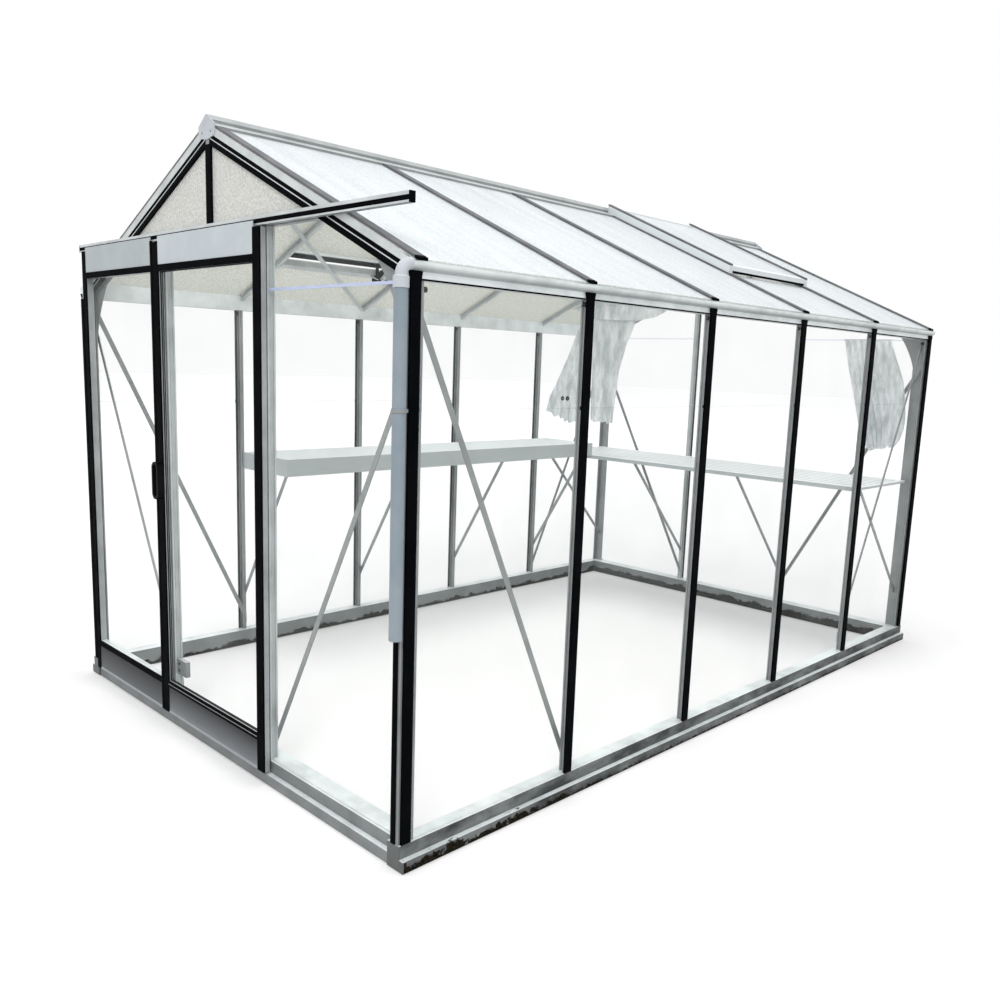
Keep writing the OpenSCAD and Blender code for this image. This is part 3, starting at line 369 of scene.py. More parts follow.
def vent_frame():
    """Bright vent frames whose side rails carry grey cover strips, with painted light on tops and upright
    faces and painted shade on the undersides.
    """
    tree = Tree("vent_frame")
    # Painted shade: dark undersides against light upright faces and tops.
    tone = tree.by_facing((0.2, 0.21, 0.21), (0.72, 0.76, 0.77), (0.85, 0.88, 0.9))
    capped = None
    y = tree.axis(1)
    points = [vertex.co for vertex in nodes["roof_vent_frames"].data.vertices]
    for side in (-1, 1):
        depths = [point.y for point in points if point.x * side > 0]
        this_side = tree.span(tree.math("MULTIPLY", tree.axis(0), float(side)), 0.0, 10 * MM)
        for edge, turn in ((min(depths), 1), (max(depths), -1)):
            near = tree.span(y, edge + 26 * turn * MM, edge + 24 * turn * MM)
            near = tree.math("MULTIPLY", near, tree.span(y, edge - 3 * turn * MM, edge - 2 * turn * MM))
            near = tree.math("MULTIPLY", near, this_side)
            capped = near if capped is None else tree.math("MAXIMUM", capped, near)
    cap = tree.mix(tree.noise(0.08, 3.0), (0.12, 0.125, 0.135), (0.2, 0.205, 0.21))
    colour = tree.mix(tree.math("MULTIPLY", capped, tree.span(tree.upward(), 0.7, 0.8)), tone, cap)
    tree.put(Base_Color=colour, Metallic=0.2,
             Roughness=tree.span(tree.noise(0.04, 2.0), 0.3, 0.7, 0.36, 0.5))
    return tree.material


# Copies of one mill aluminium that differ only in their under, side and top tones: painted light and shade,
# set part by part to how much light each part gets.
METAL = aluminium("aluminium", 0.14, 0.28, 0.6)
BASE_METAL = aluminium("base_aluminium", 0.1, 0.26, 0.9, soiled_and_shaded=True)
CORNER_METAL = aluminium("corner_aluminium", 0.1, 0.11, 0.85)
BRIGHT_METAL = aluminium("bright_aluminium", 0.14, 0.62, 0.85)
GUTTER_METAL = aluminium("gutter_aluminium", 0.42, 0.82, 0.85)
FRAME_METAL = aluminium("frame_aluminium", 0.2, 0.38, 0.8)
GABLE_METAL = aluminium("gable_aluminium", 0.2, 0.54, 0.8)
ROOF_METAL = aluminium("roof_aluminium", 0.5, 0.5, 0.6)
FINISH = {
    "aluminium": METAL,
    "black_strip": black_strip("black_strip", (0.002, 0.0023, 0.0032), (0.005, 0.0055, 0.007), 0.55, 0.01),
    "roof_strip": black_strip("roof_strip", (0.13, 0.135, 0.145), (0.22, 0.225, 0.23), 0.36),
    "clear_glass": clear_glass(),
    "obscured_glass": obscured_glass(),
    "pale_panel": painted("pale_panel", (0.5, 0.55, 0.58), (0.6, 0.64, 0.67)),
    "kick_plate": brushed_plate(),
    "white_plastic": painted("white_plastic", (0.52, 0.55, 0.59), (0.42, 0.45, 0.49)),
    "grey_pipe": painted("grey_pipe", (0.24, 0.29, 0.33), (0.31, 0.35, 0.39), 0.36),
    "black_plastic": black_strip("black_plastic", (0.003, 0.0033, 0.004), (0.01, 0.011, 0.013), 0.3),
    "bench_sheet": pale_sheet(),
    "curtain_cloth": cloth(),
}
NODE_FINISH = {
    "base_sills": BASE_METAL, "base_corners": CORNER_METAL,
    "gutters": GUTTER_METAL, "gutter_end_plates": GUTTER_METAL,
    "door_rail": BRIGHT_METAL, "gable_rafters": BRIGHT_METAL, "roof_vent_frames": vent_frame(),
    "side_panel_header": painted("side_header", (0.4, 0.445, 0.465), (0.48, 0.52, 0.54)),
    "gable_posts": GABLE_METAL, "door_frame": FRAME_METAL, "side_panel_frame": FRAME_METAL,
    "roof_bars": ROOF_METAL, "roof_brace": ROOF_METAL,
    "pane_joints": joint_strip(), "door_guide_block": METAL,
}

for part in frame["record"]["subparts"]:
    mesh = nodes[part["node"]].data
    mesh.materials.clear()
    mesh.materials.append(NODE_FINISH.get(part["node"], FINISH[part["material_slot"]]))
    if part["material_slot"] in ("clear_glass", "obscured_glass"):
        nodes[part["node"]].visible_shadow = False


# Added pieces
class Pieces:
    """Collects plain solids of one finish on one body into a single mesh."""

    def __init__(self):
        self.vertices = []
        self.faces = []

    def add(self, vertices, faces):
        start = len(self.vertices)
        self.vertices += [tuple(vertex) for vertex in vertices]
        self.faces += [tuple(start + index for index in face) for face in faces]

    def block(self, centre, size, turn=None):
        """A box whose own axes are the columns of turn."""
        turn = turn or Matrix.Identity(3)
        signs = [(x, y, z) for z in (-0.5, 0.5) for y in (-0.5, 0.5) for x in (-0.5, 0.5)]
        corners = [Vector(centre) + turn @ Vector([s * d for s, d in zip(sign, size)]) for sign in signs]
        faces = [(0, 2, 3, 1), (4, 5, 7, 6), (0, 1, 5, 4), (2, 6, 7, 3), (0, 4, 6, 2), (1, 3, 7, 5)]
        self.add(corners, faces)

    def turned(self, centre, axis, rings, sides):
        """A solid turned about an axis: rings are (height, radius) pairs from the foot up."""
        turn = Vector(axis).to_track_quat("Z", "Y").to_matrix()
        points = []
        for height, radius in rings:
            for step in range(sides):
                angle = 2 * math.pi * step / sides
                point = Vector((radius * math.cos(angle), radius * math.sin(angle), height))
                points.append(Vector(centre) + turn @ point)
        faces = [tuple(reversed(range(sides)))]
        for ring in range(len(rings) - 1):
            for step in range(sides):
                low, low_next = ring * sides + step, ring * sides + (step + 1) % sides
                faces.append((low, low_next, low_next + sides, low + sides))
        faces.append(tuple(range((len(rings) - 1) * sides, len(rings) * sides)))
        self.add(points, faces)

    def bolt(self, place, axis, size=7 * MM):
        """Washer and chamfered hexagonal head on a face."""
        self.turned(place, axis, [(0, size * 1.25), (size * 0.2, size * 1.25)], 16)
        foot = Vector(place) + Vector(axis) * size * 0.2
        self.turned(foot, axis, [(0, size * 0.9), (size * 0.5, size * 0.9), (size * 0.65, size * 0.65)], 6)

    def screw(self, place, axis, size=4 * MM):
        """Low round head on a face."""
        self.turned(place, axis, [(0, size), (size * 0.3, size * 0.9), (size * 0.5, size * 0.5)], 14)

    def tube(self, path, radius, sides=10, closed=False):
        """A round rod along a path."""
        path = [Vector(point) for point in path]
        count = len(path)
        points, side = [], None
        for index, place in enumerate(path):
            ahead = path[(index + 1) % count] if closed or index + 1 < count else place
            behind = path[index - 1] if closed or index else place
            along = (ahead - behind).normalized()
            if side is None:
                side = along.orthogonal().normalized()
            side = (side - along * side.dot(along)).normalized()
            other = along.cross(side)
            for step in range(sides):
                angle = 2 * math.pi * step / sides
                points.append(place + side * math.cos(angle) * radius + other * math.sin(angle) * radius)
        faces = []
        for ring in range(count if closed else count - 1):
            low, high = ring * sides, (ring + 1) % count * sides
            for step in range(sides):
                turn = (step + 1) % sides
                faces.append((low + step, low + turn, high + turn, high + step))
        if not closed:
            faces.append(tuple(reversed(range(sides))))
            faces.append(tuple(range((count - 1) * sides, count * sides)))
        self.add(points, faces)

    def object(self, name, finish, slot, body, smooth=False):
        mesh = bpy.data.meshes.new(name)
        mesh.from_pydata(self.vertices, [], self.faces)
        mesh.update()
        if smooth:
            for face in mesh.polygons:
                face.use_smooth = len(face.vertices) == 4
        mesh.materials.append(finish)
        thing = bpy.data.objects.new(name, mesh)
        scene.collection.objects.link(thing)
        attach(thing, body)
        return thing


def both_ends(point):
    """The same place at the front and at the back gable."""
    return (Vector(point), Vector((point[0], 2 * middle_y - point[1], point[2])))


def along(start, end, normal):
    """Axes of a flat bar: its run, across it, and out of its face."""
    run = (end - start).normalized()
    return Matrix((run, normal.cross(run), normal)).transposed()


# Sizes of the braces' places, as in the solids
BRACE_T = 3 * MM
CORNER_T = 6 * MM
BEAD = 8 * MM
BRACE_FOOT = 60 * MM
SIDE_BRACE_DROP = 34 * MM
SIDE_BRACE_IN = 21 * MM
GABLE_BRACE_DROP = 140 * MM
GABLE_BRACE_IN = 39 * MM


def wall_brace_lines():
    """Middle lines of the flat braces' inner faces, each with the face's outward direction."""
    side_x = inner_x - BRACE_T
    foot_z = sill_top + BRACE_FOOT
    side_line = ((gable_y + SIDE_BRACE_IN, eave_z - SIDE_BRACE_DROP), (front_axis + bay + BEAD, foot_z))
    gable_line = ((post_high[0] - CORNER_T, eave_z - GABLE_BRACE_DROP), (jamb_x - BEAD, foot_z))
    face_y = gable_y + GABLE_BRACE_IN
    for side in (-1, 1):
        ends = zip(*(both_ends((side * side_x, y, z)) for y, z in side_line))
        for start, end in ends:
            yield start, end, Vector((-side, 0, 0))
        ends = zip(*(both_ends((side * x, face_y, z)) for x, z in gable_line))
        for (start, end), inward in zip(ends, (1, -1)):
            yield start, end, Vector((0, inward, 0))


def brace_fittings():
    """Punched slots along the back bay's braces, and a bolt near each end of every brace."""
    slots, bolts = Pieces(), Pieces()
    pitch, slot = 25 * MM, (15 * MM, 4 * MM, 0.5 * MM)
    proud = 0.2 * MM
    plain_ends = 130 * MM
    bolt_in, bolt_size = 30 * MM, 6 * MM
    for start, end, normal in wall_brace_lines():
        punched = start.y > middle_y
        turn = along(start, end, normal)
        run = turn.col[0]
        count = int(((end - start).length - plain_ends) / pitch)
        first = ((end - start).length - pitch * (count - 1)) / 2
        for step in range(count if punched else 0):
            place = start + run * (first + pitch * step)
            for face in (proud, -BRACE_T - proud):
                slots.block(place + normal * face, slot, turn)
        for place in (start + run * bolt_in, end - run * bolt_in):
            bolts.bolt(place, normal, bolt_size)
    return slots, bolts


def frame_bolts(bolts):
    """Bolts of the gussets and of the ends of the side posts and the gables' posts."""
    gusset_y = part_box("corner_gussets")[0][1] + BRACE_T
    gusset_places = ((1.106, 1.63), (1.106, 1.7), (1.05, 1.748))
    gusset_bolt, post_bolt = 5.5 * MM, 4.5 * MM
    foot_z, side_head_z, gable_head_z = sill_top + 22 * MM, eave_z - 24 * MM, 1.9
    jamb_y = gable_y + 36 * MM
    for side in (-1, 1):
        for x, z in gusset_places:
            for place, inward in zip(both_ends((side * x, gusset_y, z)), (1, -1)):
                bolts.bolt(place, (0, inward, 0), gusset_bolt)
    for side in (-1, 1):
        for index in range(1, BAYS):
            y = front_axis + bay * index
            for z in (foot_z, side_head_z):
                bolts.bolt((side * inner_x, y, z), (-side, 0, 0), post_bolt)
        for z in (foot_z, gable_head_z):
            for place, inward in zip(both_ends((side * jamb_x, jamb_y, z)), (1, -1)):
                bolts.bolt(place, (0, inward, 0), post_bolt)


def post_top_clips():
    """Dark clips at the posts' heads, which hold the panes under the gutter, and a nut in each corner."""
    clips = Pieces()
    clip = (8 * MM, 9 * MM, 14 * MM)
    clip_x, clip_z = glass_x - 9 * MM, eave_z - 15 * MM
    beside_post = 16 * MM
    nut = [(0, 9 * MM), (10 * MM, 9 * MM), (13 * MM, 6 * MM)]
    nut_x, nut_y, nut_z = glass_x - 16 * MM, gable_y + 45 * MM, eave_z - 22 * MM
    for side in (-1, 1):
        for index in range(1, BAYS):
            y = front_axis + bay * index - beside_post
            clips.block((side * clip_x, y, clip_z), clip)
        for place, inward in zip(both_ends((side * nut_x, nut_y, nut_z)), (1, -1)):
            clips.turned(place, (0, inward, 0), nut, 6)
    return clips


def gutter_lines():
    """Dark seal under each gutter's band, between the strips' heads."""
    lines = Pieces()
    seal = (1 * MM, bay - 40 * MM, 5 * MM)
    seal_x, seal_z = glass_x + seal[0] / 2, eave_z + 2 * MM
    for side in (-1, 1):
        for index in range(BAYS):
            lines.block((side * seal_x, front_axis + bay * (index + 0.5), seal_z), seal)
    return lines


def pane_laps():
    """Upper panes lap over lower ones: a faint edge line across each bay and dark clips at the posts."""
    lines, ticks = Pieces(), Pieces()
    lap_z = {-1: 1.27, 1: 1.368}
    line, tick = (0.8 * MM, bay - 36 * MM, 2.5 * MM), (1.8 * MM, 6 * MM, 11 * MM)
    tick_out = bay / 2 - 21 * MM
    for side in (-1, 1):
        for index in range(BAYS):
            middle = front_axis + bay * (index + 0.5)
            lines.block((side * (glass_x + line[0] / 2), middle, lap_z[side]), line)
            for step in (-1, 1):
                place = (side * (glass_x + tick[0] / 2), middle + step * tick_out, lap_z[side])
                ticks.block(place, tick)
    return lines, ticks


def sheet_ribs():
    """Pressed ribs in the bench tray and on the back shelf."""
    ribs = Pieces()
    plain_ends = 60 * MM
    bench_ribs, bench_w, bench_h = 6, 9 * MM, 1.8 * MM
    shelf_ribs, shelf_w, shelf_h = 7, 8 * MM, 1.6 * MM
    tray_wall = 3 * MM
    (x0, y0, z0), (x1, y1, _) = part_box("bench_tray")
    for index in range(bench_ribs):
        x = x0 + (x1 - x0) * (index + 1) / (bench_ribs + 1)
        place = (x, (y0 + y1) / 2, z0 + tray_wall + bench_h / 2)
        ribs.block(place, (bench_w, y1 - y0 - plain_ends, bench_h))
    (x0, y0, _), (x1, y1, z1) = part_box("back_shelf")
    for index in range(shelf_ribs):
        y = y0 + (y1 - y0) * (index + 1) / (shelf_ribs + 1)
        ribs.block(((x0 + x1) / 2, y, z1 + shelf_h / 2), (x1 - x0 - plain_ends, shelf_w, shelf_h))
    return ribs


def door_fittings():
    """Bright line between the leaf's two kick strips and the seals beside its glass."""
    line, seals = Pieces(), Pieces()
    seal, pane = 3 * MM, 4 * MM
    line_t, line_h, line_drop, line_short = 0.8 * MM, 2.5 * MM, 12 * MM, 2 * MM
    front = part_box("door_strips")[0][1]
    (x0, pane_y, z0), (x1, _, z1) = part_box("door_glass")
    middle, width, height = (x0 + x1) / 2, x1 - x0, z1 - z0
    line.block((middle, front - line_t / 2, z0 - line_drop), (width - line_short, line_t, line_h))
    for face in (pane_y - seal / 2, pane_y + pane + seal / 2):
        for x in (x0 + seal / 2, x1 - seal / 2):
            seals.block((x, face, (z0 + z1) / 2), (seal, seal, height))
        for z in (z0 + seal / 2, z1 - seal / 2):
            seals.block((middle, face, z), (width - 2 * seal, seal, seal))
    return line, seals


def handle_dish():
    """Oval plate behind the handle's ring and a grip that stands on it."""
    dish = Pieces()
    (x0, _, z0), (x1, back, z1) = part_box("door_handle")
    ring_wall, plate_t, sides = 9.5 * MM, 4 * MM, 32
    grip_x, grip_y, grip_w, grip_d, grip_share = 3 * MM, 10 * MM, 5 * MM, 12 * MM, 1.1
    half_x, half_z = (x1 - x0) / 2 - ring_wall, (z1 - z0) / 2 - ring_wall
    middle_x, middle_z = (x0 + x1) / 2, (z0 + z1) / 2
    for y in (back, back - plate_t):
        for step in range(sides):
            angle = 2 * math.pi * step / sides
            x, z = middle_x + half_x * math.cos(angle), middle_z + half_z * math.sin(angle)
            dish.vertices.append((x, y, z))
    dish.faces.append(tuple(range(sides)))
    dish.faces.append(tuple(reversed(range(sides, 2 * sides))))
    for step in range(sides):
        after = (step + 1) % sides
        dish.faces.append((step, after, after + sides, step + sides))
    dish.block((middle_x + grip_x, back - grip_y, middle_z), (grip_w, grip_d, half_z * grip_share))
    return dish


def gable_fittings():
    """Screws of the jambs, the ridge caps and the guide block."""
    bright, dark = Pieces(), Pieces()
    jamb_heights, jamb_in, jamb_screw = (1.806, 1.906), 2 * MM, 3 * MM
    cap_out, cap_z, cap_screw = 30 * MM, 2.256, 4 * MM
    bolt_in, front_x, back_x = 18 * MM, 16 * MM, 24 * MM
    front_bolt, back_bolt = 4.5 * MM, 5 * MM
    cap_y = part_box("ridge_end_caps")[0][1]
    for side in (-1, 1):
        for z in jamb_heights:
            dark.screw((side * (jamb_x - jamb_in), gable_y, z), (0, -1, 0), jamb_screw)
        for place, outward in zip(both_ends((side * cap_out, cap_y, cap_z)), (-1, 1)):
            bright.screw(place, (0, outward, 0), cap_screw)
    (x0, y0, z0), (_, y1, z1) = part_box("door_guide_block")
    for z in (z0 + bolt_in, z1 - bolt_in):
        dark.bolt((x0 + front_x, y0, z), (0, -1, 0), front_bolt)
        bright.bolt((x0 + back_x, y1, z), (0, 1, 0), back_bolt)
    return bright, dark


def vent_gap_shadows():
    """Painted shadow: a dark strip that stands for the shadow in the gap below each vent's lower rail."""
    seals = Pieces()
    rail_x, lift = 738 * MM, 6 * MM
    seal = (22 * MM, bay - 32 * MM, 10 * MM)
    vent_bays = {1: 3.5, -1: 1.5}
    for side, index in vent_bays.items():
        down = Vector((side * math.cos(PITCH), 0, -math.sin(PITCH)))
        turn = Matrix((down, (0, 1, 0), (side * math.sin(PITCH), 0, math.cos(PITCH)))).transposed()
        centre = (side * rail_x, front_axis + bay * index, roof_z(rail_x, -lift))
        seals.block(centre, seal, turn)
    return seals


def opener_stays(rods, springs):
    """Rod, coil spring and two bent arms of the left vent's opener."""
    rail_x, deep = 742 * MM, 50 * MM
    cylinder, cylinder_in, rod_end, coil_end = 240 * MM, 20 * MM, 330 * MM, 290 * MM
    rod_r, arm_r, arm_out, pin_r, pin_half = 5 * MM, 3.5 * MM, 21 * MM, 8 * MM, 4 * MM
    arm_bends = ((-10 * MM, 38 * MM), (60 * MM, 86 * MM), (170 * MM, 62 * MM))
    coil_r, wire_r, coil_turns, turn_steps = 9 * MM, 1.4 * MM, 12, 14
    coil_rise = 0.216 * MM
    low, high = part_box("vent_opener")
    middle = (low[1] + high[1]) / 2

    def under(inward, depth, y):
        x = rail_x - inward
        return Vector((-x, y, roof_z(x, depth)))

    end = under(cylinder_in + cylinder * math.cos(PITCH), deep, middle)
    rods.tube([end, under(rod_end, deep, middle)], rod_r)
    for step in (-1, 1):
        path = [under(inward, depth, middle + step * arm_out) for inward, depth in arm_bends]
        rods.tube(path, arm_r, 8)
        pin = Vector((0, pin_half, 0))
        springs.tube([path[1] - pin, path[1] + pin], pin_r, 12)
    coil = []
    start = under(coil_end, deep, middle)
    run = (end - start).normalized()
    side = Vector((0, 1, 0))
    for step in range(turn_steps * coil_turns):
        angle = 2 * math.pi * step / turn_steps
        spoke = side * math.cos(angle) + run.cross(side) * math.sin(angle)
        coil.append(start + run * (step * coil_rise) + spoke * coil_r)
    springs.tube(coil, wire_r, 6)


def peg_stay(rods, springs):
    """Flat peg stay with dark holes under the right vent, on two pegs."""
    foot_x, head_x, deep = 725 * MM, 460 * MM, 40 * MM
    width, thick = 14 * MM, 3 * MM
    holes, hole_r, hole_t, hole_share = 6, 4 * MM, 0.5 * MM, 0.14
    peg_places, peg_r, peg_h = (725 * MM, 500 * MM), 5 * MM, 14 * MM
    stay_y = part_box("roof_vent_frames")[1][1] - bay / 2
    foot, head = (Vector((x, stay_y, roof_z(x, deep))) for x in (foot_x, head_x))
    turn = along(foot, head, Vector((math.sin(PITCH), 0, math.cos(PITCH))))
    rods.block((foot + head) / 2, ((head - foot).length, width, thick), turn)
    for step in range(holes):
        place = foot.lerp(head, hole_share + hole_share * step)
        springs.turned(place + turn.col[2] * thick / 2, turn.col[2], [(0, hole_r), (hole_t, hole_r)], 12)
    for x in peg_places:
        rods.turned((x, stay_y, roof_z(x, deep)), (0, 0, 1), [(0, peg_r), (peg_h, peg_r)], 12)


def vent_stays():
    """Bright rods and dark springs of both vents."""
    rods, springs = Pieces(), Pieces()
    opener_stays(rods, springs)
    peg_stay(rods, springs)
    return rods, springs


def place_on(points, share):
    """The place at a share of a broken line's length."""
    points = [Vector(point) for point in points]
    spans = list(zip(points, points[1:]))
    goal = share * sum((b - a).length for a, b in spans)
    for a, b in spans:
        length = (b - a).length
        if goal <= length:
            return a.lerp(b, goal / length)
        goal -= length
    return points[-1]


class Cloth:
    """Pleated sheets between two edge lines in a plane across the house."""

    def __init__(self):
        self.vertices = []
        self.faces = []

    def fall(self, left, right, y, folds, depth, seed, hem=0.0, rows=90, columns=110, fullness=0.5):
        """Pleats run from the first points of the edges to the last ones."""
        dice = random.Random(seed)
        turns = [dice.random() * 2 * math.pi for _ in range(5)]
        start = len(self.vertices)
        for row in range(rows + 1):
            v = row / rows
            a, b = place_on(left, v), place_on(right, v)
            across = (b - a).length / folds
            for column in range(columns + 1):
                u = column / columns
                wander = 0.2 * math.sin(3.1 * v + turns[0]) + 0.16 * math.sin(6.3 * v + 5.0 * u + turns[1])
                wander += 0.3 * math.sin(7.0 * u + turns[2])
                phase = 2 * math.pi * (folds * u + wander * min(1.0, 4 * v))
                swell = 0.72 + 0.28 * math.sin(9.0 * u + 2.4 * v + turns[3])
                wave = math.sin(phase)
                pleat = math.copysign(abs(wave) ** 0.75, wave) + 0.28 * math.sin(2 * phase + turns[4])
                x, z = a.lerp(b, u)
                tuck = 0.16 * math.sin(2 * phase) * (0.3 + 0.7 * v) * min(1, 12 * u * (1 - u))
                x += fullness * across * tuck
                z += hem * v ** 5 * (wave + 0.6 * math.sin(13.0 * u + turns[2]))
                self.vertices.append((x, y + depth * 0.78 * pleat * swell * (0.55 + 0.45 * v), z))
        for row in range(rows):
            for column in range(columns):
                corner = start + row * (columns + 1) + column
                self.faces.append((corner, corner + 1, corner + columns + 2, corner + columns + 1))

    def near(self, x, z):
        """The cloth's depth in the house at the vertex nearest to a place."""
        return min(self.vertices, key=lambda p: (p[0] - x) ** 2 + (p[2] - z) ** 2)[1]

    def object(self, name, replaced):
        mesh = bpy.data.meshes.new(name)
        mesh.from_pydata(self.vertices, [], self.faces)
        mesh.update()
        for face in mesh.polygons:
            face.use_smooth = True
        mesh.materials.append(FINISH["curtain_cloth"])
        thing = bpy.data.objects.new(name, mesh)
        scene.collection.objects.link(thing)
        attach(thing, HOUSE)
        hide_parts(replaced)
        return thing


def under_roof(x, depth=40 * MM):
    """A place across the house, just under the roof bars."""
    return (x, roof_z(x, depth))


def left_curtain():
    """Shade cloth bunched along the fourth roof bar: a swag over two falls, with eyelets near one hem."""
    y0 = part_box("left_curtain")[0][1]
    drape = Cloth()
    outer_fall = (
        [under_roof(-0.765), (-0.786, 1.813), (-0.838, 1.706), (-0.905, 1.558), (-0.98, 1.413),
         (-1.048, 1.291), (-1.07, 1.196)],
        [under_roof(-0.665), (-0.7, 1.8), (-0.735, 1.6), (-0.765, 1.4), (-0.79, 1.25),
         (-0.795, 1.125)])
    inner_fall = (
        [under_roof(-0.712), (-0.704, 1.675), (-0.687, 1.42), (-0.678, 1.158)],
        [(-0.33, 1.86), (-0.363, 1.792), (-0.422, 1.647), (-0.472, 1.48), (-0.492, 1.305),
         (-0.497, 1.158)])
    swag = (
        [under_roof(-0.84), under_roof(-0.6), under_roof(-0.36), under_roof(-0.125)],
        [(-0.78, 1.842), (-0.63, 1.803), (-0.432, 1.795), (-0.318, 1.794), (-0.208, 1.811),
         (-0.127, 1.845)])
    drape.fall(*outer_fall, y0 + 27 * MM, folds=4.5, depth=12 * MM, seed=3, hem=10 * MM)
    drape.fall(*inner_fall, y0 + 28 * MM, folds=4, depth=10 * MM, seed=8, hem=6 * MM)
    drape.fall(*swag, y0 + 8 * MM, folds=3.5, depth=6 * MM, seed=12, rows=70, columns=80, fullness=0.2)
    sheet = drape.object("left_curtain_cloth", "left_curtain")
    rings = Pieces()
    eyelet_places = ((-0.925, 1.292), (-0.882, 1.294))
    eyelet_r, eyelet_wall, proud, steps = 10 * MM, 5.5 * MM, 2 * MM, 20
    for x, z in eyelet_places:
        y = drape.near(x, z) - proud
        circle = [(x + eyelet_r * math.cos(angle), y, z + eyelet_r * math.sin(angle))
                  for angle in (2 * math.pi * step / steps for step in range(steps))]
        rings.tube(circle, eyelet_wall, 8, closed=True)
    eyelets = rings.object("curtain_eyelets", FINISH["black_strip"], "black_plastic", HOUSE, smooth=True)


def right_curtain():
    """Shade cloth that hangs in the back right corner."""
    low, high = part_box("right_curtain")
    drape = Cloth()
    left = [(0.68, 1.712), (0.722, 1.541), (0.77, 1.372), (0.822, 1.202), (0.852, 1.13), (0.888, 1.087)]
    right = [(0.952, 1.712), (0.985, 1.631), (1.044, 1.495), (1.068, 1.39), (1.08, 1.28), (1.078, 1.225),
             (1.062, 1.165), (1.024, 1.117)]
    drape.fall(left, right, (low[1] + high[1]) / 2, folds=7, depth=15 * MM, seed=21, hem=7 * MM)
    sheet = drape.object("right_curtain_cloth", "right_curtain")


def curtain_wires():
    """Wires that the cloths are gathered on."""
    wires = Pieces()
    wire_r = 1.6 * MM
    left_ends, left_depth, left_in = (-0.86, -0.11), 38 * MM, 16 * MM
    right_ends, right_z, right_in = (0.675, 0.957), 1.716, 18 * MM
    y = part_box("left_curtain")[0][1] + left_in
    wires.tube([(x, y, roof_z(x, left_depth)) for x in left_ends], wire_r, 8)
    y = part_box("right_curtain")[1][1] - right_in
    wires.tube([(x, y, right_z) for x in right_ends], wire_r, 8)
    return wires


slots, bolts = brace_fittings()
frame_bolts(bolts)
lap_lines, lap_ticks = pane_laps()
kick_line, seals = door_fittings()
bright_screws, dark_screws = gable_fittings()
rods, springs = vent_stays()
BLACK = FINISH["black_plastic"]
slots.object("brace_slots", FINISH["roof_strip"], "roof_strip", HOUSE)
bolts.object("frame_bolts", METAL, "aluminium", HOUSE)
post_top_clips().object("post_top_clips", BLACK, "black_plastic", HOUSE)
gutter_lines().object("gutter_seals", FINISH["black_strip"], "black_strip", HOUSE)
lap_lines.object("pane_lap_lines", pane_edge(), "clear_glass", HOUSE).visible_shadow = False
lap_ticks.object("pane_lap_clips", BLACK, "black_plastic", HOUSE)
sheet_ribs().object("bench_ribs", FINISH["bench_sheet"], "bench_sheet", HOUSE)
kick_line.object("door_kick_line", METAL, "aluminium", DOOR)
seals.object("door_seals", BLACK, "black_plastic", DOOR)
handle_dish().object("door_handle_dish", BLACK, "black_plastic", DOOR)
bright_screws.object("gable_screws", METAL, "aluminium", HOUSE, smooth=True)
dark_screws.object("jamb_screws", BLACK, "black_plastic", HOUSE)
rods.object("vent_rods", BRIGHT_METAL, "aluminium", HOUSE, smooth=True)
springs.object("vent_springs", BLACK, "black_plastic", HOUSE, smooth=True)
# Dark strips standing for the shadow under the vents' lower rails.
vent_gap_shadows().object("vent_gap_shadows", FINISH["black_strip"], "black_strip", HOUSE)
curtain_wires().object("curtain_wires", METAL, "aluminium", HOUSE, smooth=True)
left_curtain()
right_curtain()


# Studio
def seen_directly(tree):
    """One for rays that show the background itself: the camera's, mirrored ones and those through glass."""
    path = tree.nodes.new("ShaderNodeLightPath")
    either = path.outputs["Is Camera Ray"]
    for kind in ("Is Glossy Ray", "Is Transmission Ray"):
        join = tree.nodes.new("ShaderNodeMath")
        join.operation = "MAXIMUM"
        tree.links.new(either, join.inputs[0])
        tree.links.new(path.outputs[kind], join.inputs[1])
        either = join.outputs["Value"]
    return either


def white_world():
    """Soft even sky for the light; plain white where the camera, the glass or the metal shows it."""
    world = bpy.data.worlds.new("studio")
    scene.world = world
    world.use_nodes = True
    tree = world.node_tree
    tree.nodes.clear()
    lit = tree.nodes.new("ShaderNodeBackground")
    lit.inputs["Strength"].default_value = 0.62
    seen = tree.nodes.new("ShaderNodeBackground")
    seen.inputs["Strength"].default_value = 1.0
    seen.inputs["Color"].default_value = (1, 1, 1, 1)
    pick = tree.nodes.new("ShaderNodeMixShader")
    tree.links.new(seen_directly(tree), pick.inputs["Fac"])
    tree.links.new(lit.outputs["Background"], pick.inputs[1])
    tree.links.new(seen.outputs["Background"], pick.inputs[2])
    output = tree.nodes.new("ShaderNodeOutputWorld")
    tree.links.new(pick.outputs["Shader"], output.inputs["Surface"])


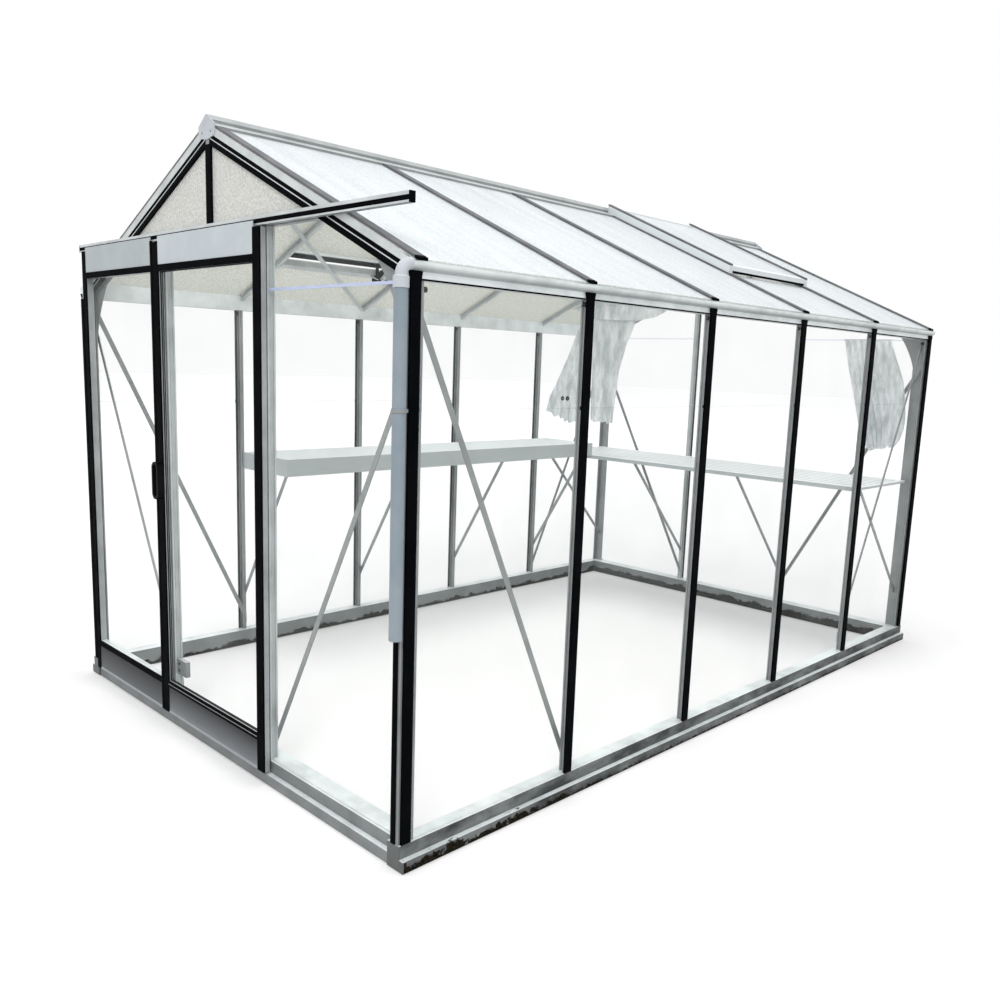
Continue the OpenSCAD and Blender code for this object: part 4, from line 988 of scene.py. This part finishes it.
def floor():
    """White studio floor that keeps the house's soft shadow and fades into the background far off."""
    half, drop = 60.0, 2 * MM
    mesh = bpy.data.meshes.new("floor")
    corners = [(-half, -half, 0), (half, -half, 0), (half, half, 0), (-half, half, 0)]
    mesh.from_pydata(corners, [], [(0, 1, 2, 3)])
    tree = Tree("floor")
    grain = tree.noise(0.4, 2.0)
    reach = tree.nodes.new("ShaderNodeVectorMath")
    reach.operation = "LENGTH"
    tree.link(tree.place, reach.inputs[0])
    lift = tree.span(reach.outputs["Value"], 3.0, 16.0, 0.15, 0.64)
    glow = tree.math("MULTIPLY", seen_directly(tree.material.node_tree), lift)
    tree.put(Base_Color=tree.mix(grain, (0.78, 0.78, 0.78), (0.8, 0.8, 0.8)), Roughness=0.9,
             Specular_IOR_Level=0.0, Emission_Color=(1, 1, 1), Emission_Strength=glow)
    mesh.materials.append(tree.material)
    ground = bpy.data.objects.new("floor", mesh)
    ground.location.z = -drop
    scene.collection.objects.link(ground)
    return ground


def area_lamp(name, place, aim, size, power):
    """Round soft lamp that shows neither directly nor in glass and metal."""
    light = bpy.data.lights.new(name, "AREA")
    light.shape = "DISK"
    light.size = size
    light.energy = power
    lamp = bpy.data.objects.new(name, light)
    lamp.location = place
    lamp.rotation_euler = (Vector(aim) - Vector(place)).to_track_quat("-Z", "Y").to_euler()
    lamp.visible_camera = False
    lamp.visible_glossy = False
    lamp.visible_transmission = False
    scene.collection.objects.link(lamp)
    return lamp


def camera():
    """The photograph's camera: eye height in front of the right corner, looking past it to the left."""
    focal_share = 0.9065
    place = (3.090, front_axis - 1.600, sill_top + 1.422)
    data = bpy.data.cameras.new("camera")
    data.sensor_width = 36.0
    data.sensor_fit = "HORIZONTAL"
    data.lens = focal_share * data.sensor_width
    data.shift_x, data.shift_y = -0.0076, 0.0168
    eye = bpy.data.objects.new("camera", data)
    yaw, pitch, roll = math.radians(134.46), math.radians(-9.54), math.radians(2.09)
    ahead = Vector((math.cos(pitch) * math.cos(yaw), math.cos(pitch) * math.sin(yaw), math.sin(pitch)))
    turn = ahead.to_track_quat("-Z", "Y").to_matrix().to_4x4()
    eye.matrix_world = Matrix.Translation(place) @ turn @ Matrix.Rotation(roll, 4, "Z")
    scene.collection.objects.link(eye)
    scene.camera = eye
    return eye


white_world()
floor()
area_lamp("key", (5.5, -6.5, 6.5), (0, -0.3, 1.0), 4.0, 340)
area_lamp("sky", (0.5, 0, 18.0), (0, 0, 0), 14.0, 1900)
area_lamp("fill", (-6.5, -4.0, 3.5), (0, 0, 1.0), 5.0, 90)
camera()
scene.cycles.transparent_max_bounces = 28
scene.view_settings.view_transform = "Standard"
scene.view_settings.look = "None"
